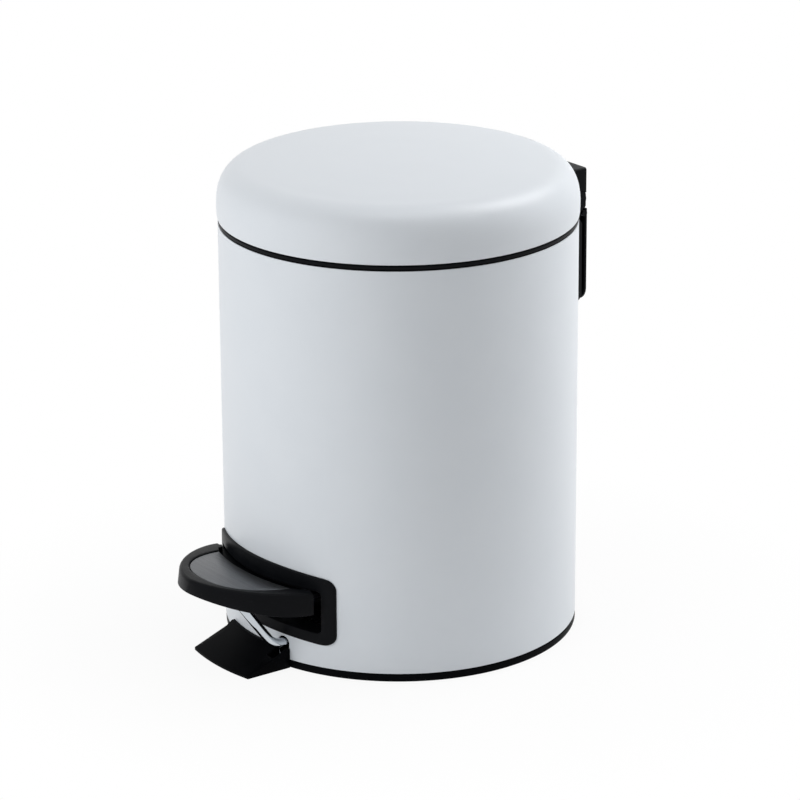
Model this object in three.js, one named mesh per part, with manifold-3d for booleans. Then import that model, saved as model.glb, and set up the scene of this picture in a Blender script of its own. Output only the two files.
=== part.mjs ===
// Pedal bin: a round steel bin whose lid is lifted by a pedal, a lever and a push rod.
// Millimetres, +Z up. The bin's axis is Z and it stands on z = 0. The pedal is towards -Y, the hinge towards +Y.
import * as THREE from 'three';
import { mergeVertices } from 'three/addons/utils/BufferGeometryUtils.js';
import Module from 'manifold-3d';

const wasm = await Module();
wasm.setup();

// ---------------------------------------------------------------- driving dimensions
const fit = 0.3;                 // clearance between pieces that touch
const turnSides = 44;            // sides of a large turned piece

const bodyRadius = 102.5;        // steel shell, outside
const shellWall = 0.8;
const baseBand = 4.8;            // height of the plastic base that shows below the shell
const shellTop = 242.2;

const trayWall = 2;              // base tray
const trayLip = 7.2;             // how far the tray stands up inside the shell
const footRing = 8;              // width of the ring that the tray stands on

const rimBand = 1.9;             // height of the plastic rim that shows above the shell
const rimWall = 2.5;
const rimDepth = 7;              // how far the rim reaches down inside the shell
const ledgeWidth = 13.6;         // ledge that carries the bucket

const lidGap = 2.5;              // from the shell's top edge to the lid's lower edge
const lidBulge = 0.7;            // how far the lid's side stands out past the shell
const lidSide = 7.8;             // height of the lid's upright side
const shoulderWidth = 17.8;
const shoulderHeight = 22.7;
const crownHeight = 3.6;
const lidWall = 1;
const linerWall = 1.4;

const bucketFloor = 42;          // height of the bucket's underside
const bucketWall = 1.6;
const bucketRoom = 1.3;          // between the bucket's wall and the ledge round it
const bucketTaper = 11;          // how much narrower the bucket is at its floor
const bailWire = 3;
const bailPivotRise = 3.1;       // bail's axis above the bucket's flange
const gripDiameter = 5.4;
const gripLength = 62;

const hingeOut = 6;              // hinge axis outside the shell
const hingeDown = 1.9;           // hinge axis below the shell's top edge
const hingeHalf = 30;            // half of the hinge's width
const barrelRadius = 4.7;
const hingePin = 4;
const knuckleHalf = 7.7;         // half width of the lid's knuckle
const bracketBack = 4.4;         // back face of the hinge, behind its axis
const lidBlockHeight = 12.2;
const lipRise = 3.7;              // lower edge of the lip on the lid's block, above the hinge axis
const bracketDrop = 61;          // how far the fixed bracket reaches below the hinge axis
const housingBack = 1.8;         // back face of the lower housing, behind the hinge axis
const housingDrop = 14.6;        // top of the lower housing, below the hinge axis
const waistDrop = 11;            // narrowest place between the housing and the hinge, below the hinge axis
const chinDrop = 4.5;            // where the waist meets the back face, below the hinge axis
const seatRise = 1.7;            // top of the bracket above the hinge axis
const recessWall = 2.4;          // thickness left behind the recess for fingers
const recessHeight = 34;
const recessCorner = 5;
const recessDrop = 37;           // middle of the recess, below the hinge axis
const armHeight = 5.4;
const armHalf = 4.5;
const forkHalf = 2.3;            // half of the gap that takes the push rod's eye
const rodDiameter = 3.2;
const rodEye = 6.4;
const rodPin = 2.5;
const rodRoom = 1.5;             // between the bucket's wall and the push rod's foot

const handlePlate = 1.5;
const handleBack = 5.1;          // handle's outer face, behind the hinge axis
const handleOut = 3.7;           // handle's axis behind the hinge axis
const handleDrop = 9;            // handle's axis below the hinge axis
const handleLength = 53.5;       // handle's axis to its lower edge
const handleRise = 2.9;          // handle's axis to the upper ends of its arms
const handleArm = 5.5;
const handleCorner = 8;
const trunnion = 2;

const pivotBack = 44.5;          // lever's pivot behind the front of the shell
const pivotHeight = 17;
const leverPin = 4;
const leverHalf = 11;
const leverSheet = 1.5;
const leverTop = 21.5;           // top of the lever where it runs under the bucket
const leverFlange = 8.5;
const heelRise = 3.5;            // how far the lever's rear lip stands above it
const fulcrumHalf = 13;          // half length of the fulcrum bracket's plate
const earRootHalf = 7;
const earTipHalf = 4;
const earRise = 4;               // ears' tops above the lever's pivot
const tongueDrop = 8;            // from the pedal's top to the lever's tongue that carries it
const rodShoe = 6;               // diameter of the push rod's foot

const stayDiameter = 5.4;
const staySide = 23;             // the stay runs this far to the side of the pedal's middle
const stayHeight = 14.6;         // height at which it passes through the shell
const stayTravel = 6.6;          // how far it sinks in its slot

const bezelSide = 7.6;           // width of the bezel's frame beside, under and over the opening
const bezelUnder = 7.2;
const bezelOver = 6.2;
const bezelProud = 1.7;
const bezelCorner = 6.5;
const openingHalf = 49.4;        // pedal's opening, half width measured straight across
const openingBottom = 27.3;
const openingTop = 52.8;
const openingCorner = 2.5;
const tunnelWall = 1.5;
const tunnelDepth = 10;

const pedalRoom = 1;             // from the pedal to the sides of its opening
const pedalHeadroom = 0.6;       // from the pedal, where it is widest, to the top of its opening
const pedalReach = 45.5;           // how far the pedal's tip stands out from the shell
const pedalShoulder = 4.5;       // the pedal is widest this far inside the shell's front
const pedalRise = 0.1;           // how steeply the pedal slopes up towards its tip
const pedalPower = 1.7;          // roundness of the pedal's outline, where 2 is an ellipse
const insertPower = 2.3;         // the same for the insert's outline
const pedalRearInset = 7.5;
const pedalSkirt = 12.7;         // height of the skirt where the pedal is widest
const pedalEdgeRise = 0.155;     // how steeply the skirt's lower edge rises towards the tip
const pedalFlare = 1.3;
const pedalWall = 2;
const pedalPlate = 3;
const pedalRound = 2.3;
const insertSheet = 1;
const insertSideMargin = 12.6;
const insertTipMargin = 9.1;
const insertRearGap = 8.3;       // from the shell's front to the insert's rear edge

const toeReach = 26.5;             // anti-tip toe: how far it stands out from the shell
const toeRootHalf = 29;
const toeTipHalf = 26;
const toeCollar = 10.8;
const toeCollarWall = 2.2;
const toeRootTop = 8.6;
const toeTipTop = 1.6;
const toeTongueHalf = 12;

const screwHead = 6;
const screwShank = 2.4;
const rearScrewHead = 7;
const rearScrewShank = 3.4;
const screwInset = 8;            // bracket's screws from the ends of the hinge
const lidScrewInset = 12;

// ---------------------------------------------------------------- sizes that follow from them
const shellInner = bodyRadius - shellWall;
const trayFloorTop = 3.5;
const trayFloorUnder = trayFloorTop - trayWall;
const rimTop = shellTop + fit + rimBand;
const rimOuter = shellInner - fit;
const rimInner = rimOuter - rimWall;
const ledgeTop = shellTop - rimDepth + 1.8;
const ledgeInner = rimInner - ledgeWidth;
const bucketTopRadius = ledgeInner - bucketRoom;
const bucketBaseRadius = bucketTopRadius - bucketTaper;
const lidEdge = shellTop + lidGap;
const lidRadius = bodyRadius + lidBulge;
const lidTop = lidEdge + lidSide + shoulderHeight + crownHeight;
const hingeY = bodyRadius + hingeOut;
const hingeZ = shellTop - hingeDown;
const rodY = bucketTopRadius + rodRoom + rodShoe / 2;
const flangeUnder = ledgeTop + fit;
const flangeTop = flangeUnder + bucketWall;
const bailZ = flangeTop + bailPivotRise;
const bailRadius = ledgeInner + 3;
const earInner = bailRadius + bailWire / 2 + 1.5;
const earWall = 3;
const screwSpread = hingeHalf - screwInset;
const lidScrewSpread = hingeHalf - lidScrewInset;
const bezelHalf = openingHalf + bezelSide;
const bezelBottom = openingBottom - bezelUnder;
const bezelTop = openingTop + bezelOver;
const pedalHalf = openingHalf - pedalRoom;
const pedalTop = openingTop - pedalHeadroom;
const pedalEdgeRear = pedalTop - pedalSkirt;
const tongueTop = pedalTop - tongueDrop;
const pivotY = -(bodyRadius - pivotBack);
const tongueFront = -(bodyRadius + 16);
const notchHalf = knuckleHalf + 3.3;
const handleY = hingeY + handleOut;
const handleZ = hingeZ - handleDrop;
const linerRadius = lidRadius - lidWall - fit;
const cutIn = bodyRadius / 2;    // cutting tools reach in to here
const cutOut = bodyRadius * 1.3; // and out to here

// ---------------------------------------------------------------- materials
const finish = (color, roughness, metalness) => new THREE.MeshStandardMaterial({ color, roughness, metalness });
const paint = () => finish('#e6e8ea', 0.45, 0);
const blackPlastic = () => finish('#1c1c1f', 0.5, 0);
const greyPlastic = () => finish('#3a3c3f', 0.6, 0);
const brushedSteel = () => finish('#8b8d8f', 0.35, 1);
const platedSteel = () => finish('#c5c8ca', 0.25, 1);
const rubber = () => finish('#101011', 0.9, 0);

// ---------------------------------------------------------------- making solids
const v2 = (x, y) => new THREE.Vector2(x, y);
const v3 = (x, y, z) => new THREE.Vector3(x, y, z);

// A manifold solid from a closed three.js geometry, turned the right way out.
function solid(geometry) {
  geometry.deleteAttribute('normal');
  geometry.deleteAttribute('uv');
  const merged = mergeVertices(geometry, 1e-4);
  const points = merged.attributes.position.array;
  const corners = [];
  for (let i = 0; i < merged.index.count; i += 3) {
    const [a, b, c] = [0, 1, 2].map((k) => merged.index.getX(i + k));
    if (a !== b && b !== c && c !== a) corners.push(a, b, c);
  }
  if (signedVolume(points, corners) < 0) corners.reverse();
  const mesh = new wasm.Mesh({
    numProp: 3,
    vertProperties: new Float32Array(points),
    triVerts: new Uint32Array(corners),
  });
  return new wasm.Manifold(mesh);
}

function signedVolume(points, corners) {
  const corner = (i) => v3().fromArray(points, 3 * corners[i]);
  let sum = 0;
  for (let i = 0; i < corners.length; i += 3) {
    sum += corner(i).dot(corner(i + 1).cross(corner(i + 2)));
  }
  return sum / 6;
}

function geometryOf(body) {
  const mesh = body.getMesh();
  const geometry = new THREE.BufferGeometry();
  geometry.setAttribute('position', new THREE.BufferAttribute(new Float32Array(mesh.vertProperties), 3));
  geometry.setIndex(new THREE.BufferAttribute(new Uint32Array(mesh.triVerts), 1));
  geometry.computeVertexNormals();
  return geometry;
}

const join = (bodies) => bodies.reduce((whole, body) => whole.add(body));
const cut = (body, tools) => tools.reduce((rest, tool) => rest.subtract(tool), body);
const mirrored = (make) => [-1, 1].map(make);

// A closed outline of [radius, height] points turned about Z.
function turned(outline, sides = turnSides) {
  const points = outline.map(([r, z]) => v2(r, z));
  const onAxis = outline[0][0] === 0 && outline[outline.length - 1][0] === 0;
  if (!onAxis) points.push(points[0].clone());
  return solid(new THREE.LatheGeometry(points, sides).rotateX(Math.PI / 2));
}

function shapeOf(outline) {
  return new THREE.Shape(outline.map(([x, y]) => v2(x, y)));
}

function extruded(shape, from, to, basis) {
  const geometry = new THREE.ExtrudeGeometry(shape, { depth: to - from, bevelEnabled: false, curveSegments: 4 });
  return solid(geometry.translate(0, 0, from).applyMatrix4(basis));
}

// Prisms: a plan (x, y) raised along Z, a side view (y, z) along X, a front view (x, z) along Y.
const alongZ = (shape, from, to) => extruded(shape, from, to, new THREE.Matrix4());
const sideBasis = new THREE.Matrix4().makeBasis(v3(0, 1, 0), v3(0, 0, 1), v3(1, 0, 0));
const alongX = (shape, from, to) => extruded(shape, from, to, sideBasis);
const frontBasis = new THREE.Matrix4().makeBasis(v3(1, 0, 0), v3(0, 0, 1), v3(0, -1, 0));
const alongY = (shape, from, to) => extruded(shape, -to, -from, frontBasis);

function box(x0, x1, y0, y1, z0, z1) {
  const geometry = new THREE.BoxGeometry(x1 - x0, y1 - y0, z1 - z0);
  return solid(geometry.translate((x0 + x1) / 2, (y0 + y1) / 2, (z0 + z1) / 2));
}

function rodX(diameter, x0, x1, y, z, sides = 16) {
  const geometry = new THREE.CylinderGeometry(diameter / 2, diameter / 2, x1 - x0, sides).rotateZ(Math.PI / 2);
  return solid(geometry.translate((x0 + x1) / 2, y, z));
}

function rodAlongY(diameter, x, y0, y1, z, sides = 12) {
  const geometry = new THREE.CylinderGeometry(diameter / 2, diameter / 2, y1 - y0, sides);
  return solid(geometry.translate(x, (y0 + y1) / 2, z));
}

function rodZ(diameter, x, y, z0, z1, sides = 12) {
  const geometry = new THREE.CylinderGeometry(diameter / 2, diameter / 2, z1 - z0, sides).rotateX(Math.PI / 2);
  return solid(geometry.translate(x, y, (z0 + z1) / 2));
}

const drum = (radius, z0, z1) => turned([[0, z0], [radius, z0], [radius, z1], [0, z1]]);
const band = (inner, outer, z0, z1) => turned([[inner, z0], [outer, z0], [outer, z1], [inner, z1]]);

// A rectangle centred on (cx, cy) with rounded corners.
function roundedRect(width, height, radius, cx, cy) {
  const [x, y] = [width / 2 - radius, height / 2 - radius];
  const shape = new THREE.Shape();
  shape.absarc(cx + x, cy + y, radius, 0, Math.PI / 2);
  shape.absarc(cx - x, cy + y, radius, Math.PI / 2, Math.PI);
  shape.absarc(cx - x, cy - y, radius, Math.PI, Math.PI * 1.5);
  shape.absarc(cx + x, cy - y, radius, Math.PI * 1.5, Math.PI * 2);
  return shape;
}

// A wire of round section along a curve.
function wire(curve, diameter, steps, sides = 10) {
  const section = new THREE.Shape();
  section.absarc(0, 0, diameter / 2, 0, Math.PI * 2);
  const settings = { steps, curveSegments: sides, extrudePath: curve };
  return solid(new THREE.ExtrudeGeometry(section, settings));
}

// A closed body through stacked rings of [x, y, z] points, lowest ring first, all with as many points.
function loft(rings) {
  const count = rings[0].length;
  const faces = [];
  for (let ring = 0; ring + 1 < rings.length; ring += 1) {
    for (let i = 0; i < count; i += 1) {
      const [a, b] = [ring * count + i, ring * count + ((i + 1) % count)];
      faces.push(a, b, b + count, a, b + count, a + count);
    }
  }
  const capOf = (ring) => THREE.ShapeUtils.triangulateShape(ring.map(([x, y]) => v2(x, y)), []);
  capOf(rings[0]).forEach(([a, b, c]) => faces.push(c, b, a));
  const last = (rings.length - 1) * count;
  capOf(rings[rings.length - 1]).forEach(([a, b, c]) => faces.push(last + a, last + b, last + c));
  const geometry = new THREE.BufferGeometry();
  geometry.setAttribute('position', new THREE.Float32BufferAttribute(rings.flat(2), 3));
  geometry.setIndex(faces);
  return solid(geometry);
}

// Points of an arc about the bin's axis, between two bearings in radians from -Y towards +X.
function arcPoints(radius, from, to, steps) {
  const bearing = (i) => from + ((to - from) * i) / steps;
  return Array.from({ length: steps + 1 }, (_, i) => [
    radius * Math.sin(bearing(i)),
    -radius * Math.cos(bearing(i)),
  ]);
}

// ---------------------------------------------------------------- body
const slotTop = stayHeight + stayDiameter / 2 + 1;
const slotBottom = stayHeight - stayDiameter / 2 - stayTravel;
const slotHalf = stayDiameter / 2 + 0.7;

function staySlot(depthIn, depthOut) {
  const height = slotTop - slotBottom;
  const middle = (slotTop + slotBottom) / 2;
  const shape = roundedRect(2 * slotHalf, height, slotHalf - 0.1, staySide, middle);
  return alongY(shape, -depthOut, -depthIn);
}

function bezelWindow(margin, cornerRadius) {
  const height = openingTop - openingBottom + 2 * margin;
  const middle = (openingTop + openingBottom) / 2;
  return roundedRect(2 * (openingHalf + margin), height, cornerRadius, 0, middle);
}

function outerShell() {
  const wall = band(shellInner, bodyRadius, baseBand, shellTop);
  const window = alongY(bezelWindow(tunnelWall + fit, openingCorner + 1), -cutOut, -cutIn);
  const notch = box(-notchHalf, notchHalf, cutIn, cutOut, hingeZ - housingDrop - 1.4, shellTop + 1);
  const holes = mirrored((side) => rodAlongY(rearScrewShank + 0.8, side * screwSpread, cutIn, cutOut, rearScrewZ));
  return cut(wall, [window, notch, staySlot(cutIn, cutOut), ...holes]);
}

function baseTray() {
  const lipOuter = shellInner - fit;
  const lipTop = baseBand + trayLip;
  const outline = [
    [0, 0], [18, 0], [18, trayFloorUnder], [bodyRadius - footRing, trayFloorUnder],
    [bodyRadius - footRing, 0], [bodyRadius - 0.8, 0], [bodyRadius - 0.1, 0.7],
    [bodyRadius - 0.1, baseBand - fit], [lipOuter, baseBand - fit], [lipOuter, lipTop],
    [lipOuter - trayWall, lipTop], [lipOuter - trayWall, trayFloorTop], [0, trayFloorTop],
  ];
  const toeNotchHalf = toeTongueHalf + fit;
  const toeNotch = box(-toeNotchHalf, toeNotchHalf, -cutOut, toeScrewY + 7, -1, trayFloorUnder);
  const screwYs = [toeScrewY, ...fulcrumScrewYs];
  const screwHoles = screwYs.map((y) => rodZ(screwShank + 0.6, 0, y, -1, trayFloorTop + 1));
  return cut(turned(outline), [toeNotch, staySlot(cutIn, bodyRadius - 0.5), ...screwHoles]);
}

function rimRing() {
  const outline = [
    [rimOuter, shellTop - rimDepth], [rimOuter, shellTop + fit], [bodyRadius - 0.1, shellTop + fit],
    [bodyRadius - 0.1, rimTop - 0.4], [bodyRadius - 0.5, rimTop], [rimInner, rimTop],
    [rimInner, ledgeTop], [ledgeInner, ledgeTop], [ledgeInner, shellTop - rimDepth],
  ];
  const notch = box(-notchHalf, notchHalf, cutIn, cutOut, shellTop - 2 * rimDepth, shellTop + rimDepth);
  return cut(turned(outline), [notch]);
}

// ---------------------------------------------------------------- toe under the pedal
const toeScrewY = -(bodyRadius - 12);

function toePlan() {
  const root = Math.asin(toeRootHalf / bodyRadius);
  const tipRadius = bodyRadius + toeReach;
  const tip = Math.asin(toeTipHalf / tipRadius);
  return shapeOf([...arcPoints(bodyRadius - 4, root, -root, 6), ...arcPoints(tipRadius + 1, -tip, tip, 6)]);
}

function antiTipToe() {
  const inner = bodyRadius + fit;
  const collar = inner + toeCollarWall;
  const outer = bodyRadius + toeReach;
  const outline = [
    [inner, 0], [outer - 0.5, 0], [outer, 0.5], [outer, toeTipTop - 0.4], [outer - 0.6, toeTipTop],
    [collar + 2, toeRootTop - 0.4], [collar + 0.4, toeRootTop], [collar, toeRootTop + 0.5],
    [collar - 0.3, toeCollar - 0.3], [collar - 0.9, toeCollar], [inner, toeCollar],
  ];
  const wedge = turned(outline, 2 * turnSides).intersect(alongZ(toePlan(), -1, toeCollar + 1));
  const tongue = box(-toeTongueHalf, toeTongueHalf, -inner - 3, toeScrewY + 6, 0, trayFloorUnder - fit);
  const groove = box(staySide - slotHalf, staySide + slotHalf, -bodyRadius - 6, -cutIn, slotBottom - 0.2, slotTop);
  const hole = rodZ(screwShank + 0.6, 0, toeScrewY, -1, 9);
  return cut(join([wedge, tongue]), [groove, hole]);
}

function screwUp(x, y, headUnder, headHeight, tip) {
  return join([rodZ(screwHead, x, y, headUnder, headUnder + headHeight), rodZ(screwShank, x, y, headUnder, tip)]);
}

function screwDown(x, y, headTop, headHeight, tip) {
  return join([rodZ(screwHead, x, y, headTop - headHeight, headTop), rodZ(screwShank, x, y, tip, headTop)]);
}

// ---------------------------------------------------------------- bezel round the pedal's opening
function pedalBezel() {
  const face = bodyRadius + bezelProud;
  const plateShape = roundedRect(2 * bezelHalf, bezelTop - bezelBottom, bezelCorner, 0, (bezelTop + bezelBottom) / 2);
  const [front, back] = [-cutOut, -cutIn];
  const plate = band(bodyRadius + fit, face, bezelBottom - 1, bezelTop + 1).intersect(alongY(plateShape, front, back));
  const sleeveBand = band(bodyRadius - tunnelDepth, face, bezelBottom, bezelTop);
  const sleeve = sleeveBand.intersect(alongY(bezelWindow(tunnelWall, openingCorner + 0.8), front, back));
  return cut(join([plate, sleeve]), [alongY(bezelWindow(0, openingCorner), front, back)]);
}

// ---------------------------------------------------------------- pedal
const pedalShoulderY = -(bodyRadius - pedalShoulder);

// Half of a rounded outline that bulges towards -Y, from left to right.
function frontCurve(half, reach, roundness, steps) {
  const power = 2 / roundness;
  return Array.from({ length: steps + 1 }, (_, i) => {
    const turn = Math.PI * (i / steps);
    const across = Math.sign(Math.cos(turn)) * Math.abs(Math.cos(turn)) ** power;
    return [-half * across, pedalShoulderY - reach * Math.sin(turn) ** power];
  });
}

const pedalLength = pedalReach + pedalShoulder;
const slope = (y) => pedalRise * (pedalShoulderY - y);
const skirtEdge = (y) => pedalEdgeRear + pedalEdgeRise * (pedalShoulderY - y);

function pedalOutline(inset, flare, rearInset) {
  const half = pedalHalf - inset;
  const reach = pedalLength - inset + flare;
  const rear = bodyRadius - rearInset;
  const bearing = Math.asin(half / rear);
  return [...frontCurve(half, reach, pedalPower, 30), ...arcPoints(rear, bearing, -bearing, 6)];
}

const lifted = (outline, heightAt) => outline.map(([x, y]) => [x, y, heightAt(y)]);
const sloped = (outline, height) => lifted(outline, (y) => height + slope(y));

function insertBody(margin, from, to) {
  const half = pedalHalf - insertSideMargin + margin;
  const plan = frontCurve(half, pedalLength - insertTipMargin + margin, insertPower, 26);
  const rear = drum(bodyRadius + insertRearGap - margin, from - 1, to + 9);
  return loft([sloped(plan, from), sloped(plan, to)]).subtract(rear);
}

const pedalScrewY = -(bodyRadius + 9.5);
const pedalScrewSpread = 6;
const bossUnder = tongueTop + fit;
const pedalCeiling = pedalTop - pedalPlate;

function pedalShell() {
  const outside = loft([
    lifted(pedalOutline(0, pedalFlare, pedalRearInset), skirtEdge),
    sloped(pedalOutline(0, 0, pedalRearInset), pedalTop - pedalRound),
    sloped(pedalOutline(pedalRound * 0.3, 0, pedalRearInset), pedalTop - pedalRound * 0.3),
    sloped(pedalOutline(pedalRound, 0, pedalRearInset), pedalTop),
  ]);
  const inside = loft([
    lifted(pedalOutline(pedalWall, pedalFlare * 1.4, pedalRearInset + 8), () => pedalEdgeRear - 5),
    sloped(pedalOutline(pedalWall, 0, pedalRearInset + 8), pedalCeiling),
  ]);
  const pocket = insertBody(fit, pedalTop - insertSheet - fit - 0.1, pedalTop + 5);
  const bossTop = pedalCeiling + slope(pedalScrewY) + 1;
  const bosses = mirrored((s) => rodZ(6, s * pedalScrewSpread, pedalScrewY, bossUnder, bossTop));
  const holes = mirrored((s) => rodZ(screwShank + 0.6, s * pedalScrewSpread, pedalScrewY, bossUnder - 1, pedalCeiling));
  return cut(join([cut(outside, [inside, pocket]), ...bosses]), holes);
}

// ---------------------------------------------------------------- lever under the bucket
const leverRear = rodY + 7.5;
const crankLow = pivotY - 12;
const crankHigh = crankLow - 18;

function leverSide() {
  const under = leverTop - leverSheet;
  return shapeOf([
    [tongueFront, tongueTop - leverSheet], [crankHigh + 1, tongueTop - leverSheet], [crankLow, under],
    [leverRear, under], [leverRear, leverTop], [crankLow - 0.8, leverTop], [crankHigh, tongueTop],
    [tongueFront, tongueTop],
  ]);
}

function leverCheek() {
  const under = leverTop - leverFlange;
  return shapeOf([
    [pivotY - 9, under + 1.5], [pivotY - 4, under], [pivotY + 30, under], [rodY - 14, leverTop - 4],
    [leverRear, leverTop - 4], [leverRear, leverTop + heelRise], [leverRear - 13, leverTop + heelRise],
    [leverRear - 17, leverTop - 0.5], [crankLow, leverTop - 0.5],
  ]);
}

function pedalLever() {
  const web = alongX(leverSide(), -leverHalf, leverHalf);
  const cheeks = mirrored((s) => {
    const [a, b] = [s * leverHalf, s * (leverHalf - leverSheet)];
    return alongX(leverCheek(), Math.min(a, b), Math.max(a, b));
  });
  const stop = box(-leverHalf, leverHalf, leverRear - leverSheet, leverRear, leverTop - 1, leverTop + heelRise);
  const pinHole = rodX(leverPin + 0.6, -leverHalf - 1, leverHalf + 1, pivotY, pivotHeight);
  const holes = mirrored((s) => rodZ(screwShank + 0.8, s * pedalScrewSpread, pedalScrewY, 30, tongueTop + 1));
  return cut(join([web, ...cheeks, stop]), [pinHole, ...holes]);
}

function pedalStay() {
  const beside = leverHalf + fit + stayDiameter / 2;
  const front = -bodyRadius;
  const stayTip = front - 31;
  const curve = new THREE.CatmullRomCurve3([
    v3(staySide, stayTip, pedalCeiling + slope(stayTip) - 1.9), v3(staySide, front - 17.5, 32.2),
    v3(staySide, front - 10, 22), v3(staySide, front - 5.7, 17.2), v3(staySide, front - 0.5, stayHeight + 0.2),
    v3(staySide, front + 7, stayHeight), v3(staySide - 1, front + 14, stayHeight),
    v3((staySide + beside) / 2, pivotY - 20, stayHeight + 0.6), v3(beside, pivotY - 14, stayHeight + 1),
    v3(beside, pivotY - 8, stayHeight + 1.4),
  ]);
  return wire(curve, stayDiameter, 28, 5);
}

const fulcrumScrewYs = [pivotY - 9, pivotY + 9];
const earGap = leverHalf + 0.6;
const bracketPlateTop = trayFloorTop + fit + leverSheet;

function fulcrumBracket() {
  const under = trayFloorTop + fit;
  const outer = earGap + leverSheet;
  const plate = box(-outer, outer, pivotY - fulcrumHalf, pivotY + fulcrumHalf, under, under + leverSheet);
  const [earTop, cornerTop] = [pivotHeight + earRise, pivotHeight + earRise * 0.6];
  const earShape = shapeOf([
    [pivotY - earRootHalf, under], [pivotY + earRootHalf, under], [pivotY + earTipHalf, cornerTop],
    [pivotY + earTipHalf / 2, earTop], [pivotY - earTipHalf / 2, earTop], [pivotY - earTipHalf, cornerTop],
  ]);
  const ears = mirrored((s) => alongX(earShape, Math.min(s * earGap, s * outer), Math.max(s * earGap, s * outer)));
  const pinHole = rodX(leverPin + 0.6, -outer - 1, outer + 1, pivotY, pivotHeight);
  const holes = fulcrumScrewYs.map((y) => rodZ(screwShank + 0.6, 0, y, under - 1, under + 9));
  return cut(join([plate, ...ears]), [pinHole, ...holes]);
}

function trayScrew(y, seat, tip) {
  return screwDown(0, y, seat + fit + 2, 2, tip);
}

// ---------------------------------------------------------------- push rod
const shoeUnder = leverTop + fit;

function pushRod() {
  const eye = rodX(rodEye, fit - forkHalf, forkHalf - fit, rodY, hingeZ);
  const shaft = rodZ(rodDiameter, 0, rodY, shoeUnder + 1.6, hingeZ - 2, 12);
  return cut(join([eye, shaft]), [rodX(rodPin + 0.6, -3, 3, rodY, hingeZ)]);
}

function rodFoot() {
  const radius = rodShoe / 2;
  const outline = [
    [0, shoeUnder], [radius * 0.35, shoeUnder], [radius * 0.75, shoeUnder + 0.5], [radius, shoeUnder + 1.3],
    [radius, shoeUnder + 7], [0, shoeUnder + 7],
  ];
  const cap = turned(outline, 16).translate([0, rodY, 0]);
  return cut(cap, [rodZ(rodDiameter + 0.6, 0, rodY, shoeUnder + 1.3, shoeUnder + 9, 12)]);
}

// ---------------------------------------------------------------- lid
// The lid's dome as [radius, height] points from its lower edge to the axis, moved inwards by a given distance.
function domeOutline(inwards, lowerEdge, steps, crownSteps = 3) {
  const side = lidEdge + lidSide;
  const radius = lidRadius - inwards;
  const width = shoulderWidth;
  const height = shoulderHeight - inwards;
  const shoulder = Array.from({ length: steps + 1 }, (_, i) => {
    const turn = (Math.PI / 2) * (i / steps);
    return [radius - width + width * Math.cos(turn) ** 0.9, side + height * Math.sin(turn) ** 0.9];
  });
  const flat = radius - width;
  const crown = Array.from({ length: crownSteps }, (_, i) => {
    const share = 1 - (i + 1) / crownSteps;
    return [flat * share, side + height + crownHeight * (1 - share ** 2)];
  });
  return [[radius - 0.5, lowerEdge], [radius - 0.1, lowerEdge + 2], ...shoulder, ...crown];
}

const hiddenSteps = 4;           // steps of the shoulder where it doesn't show

function dome(outside, inside, lowerEdge, steps, crownSteps) {
  const outer = domeOutline(outside, lowerEdge, steps, crownSteps).reverse();
  return turned([...outer, ...domeOutline(inside, lowerEdge, hiddenSteps, 2)]);
}

const lidScrewZ = hingeZ + barrelRadius + fit + lidBlockHeight / 2;

function lidScrewHoles(diameter, from, to) {
  return mirrored((s) => rodAlongY(diameter, s * lidScrewSpread, from, to, lidScrewZ));
}

function lidShell() {
  return cut(dome(0, lidWall, lidEdge, 8, 3), lidScrewHoles(rearScrewShank + 0.8, cutIn, hingeY));
}

function lidLiner() {
  const outside = lidWall + fit;
  const body = dome(outside, outside + linerWall, lidEdge + 1.3, hiddenSteps, 2);
  return cut(body, lidScrewHoles(rearScrewShank + 0.8, cutIn, hingeY));
}

function lidBumper(bearing) {
  const radius = linerRadius - 0.2;
  const pad = band(radius - 1.9, radius - 0.4, rimTop + fit, lidEdge + 1);
  const half = 5 / radius;
  const wedge = shapeOf([[0, 0], ...arcPoints(radius + 9, bearing - half, bearing + half, 2)]);
  return pad.intersect(alongZ(wedge, rimTop, lidEdge + 9));
}

// Block on the back of the lid, with the knuckle that turns on the pin and the arm that the push rod lifts.
function lidHingeArm() {
  const under = hingeZ + barrelRadius + fit;
  const top = under + lidBlockHeight;
  const back = hingeY + bracketBack;
  const inner = cutIn;
  const blockShape = shapeOf([[inner, under], [back, under], [back, top - 0.8], [back - 0.8, top], [inner, top]]);
  const clear = turned(domeOutline(-fit, lidEdge - 9, 8).concat([[0, lidEdge - 9]]));
  const block = alongX(blockShape, -hingeHalf, hingeHalf).subtract(clear);
  const barrelRoom = rodX(2 * (barrelRadius + fit), -hingeHalf - 1, hingeHalf + 1, hingeY, hingeZ, 24);
  const lip = box(-hingeHalf, hingeHalf, hingeY, back, hingeZ + lipRise, under + 1).subtract(barrelRoom);
  const neckShape = shapeOf([
    [lidRadius + 1, hingeZ], [hingeY + barrelRadius - 0.2, hingeZ], [back, under + 1], [lidRadius + 1, under + 1],
  ]);
  const neck = alongX(neckShape, -knuckleHalf, knuckleHalf);
  const knuckle = rodX(2 * barrelRadius, -knuckleHalf, knuckleHalf, hingeY, hingeZ, 24);
  const armFront = rodY - 3;
  const arm = box(-armHalf, armHalf, armFront, hingeY, hingeZ - armHeight / 2, hingeZ + armHeight / 2);
  const fork = box(-forkHalf, forkHalf, armFront - 1, rodY + 13, hingeZ - armHeight, hingeZ + armHeight);
  const bore = rodX(hingePin + 0.6, -knuckleHalf - 1, knuckleHalf + 1, hingeY, hingeZ);
  const pinHole = rodX(rodPin + 0.6, -armHalf - 1, armHalf + 1, rodY, hingeZ);
  const screwHoles = lidScrewHoles(rearScrewShank + 0.6, inner, back - 2.5);
  return cut(join([block, lip, neck, knuckle, arm]), [fork, bore, pinHole, ...screwHoles]);
}

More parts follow.
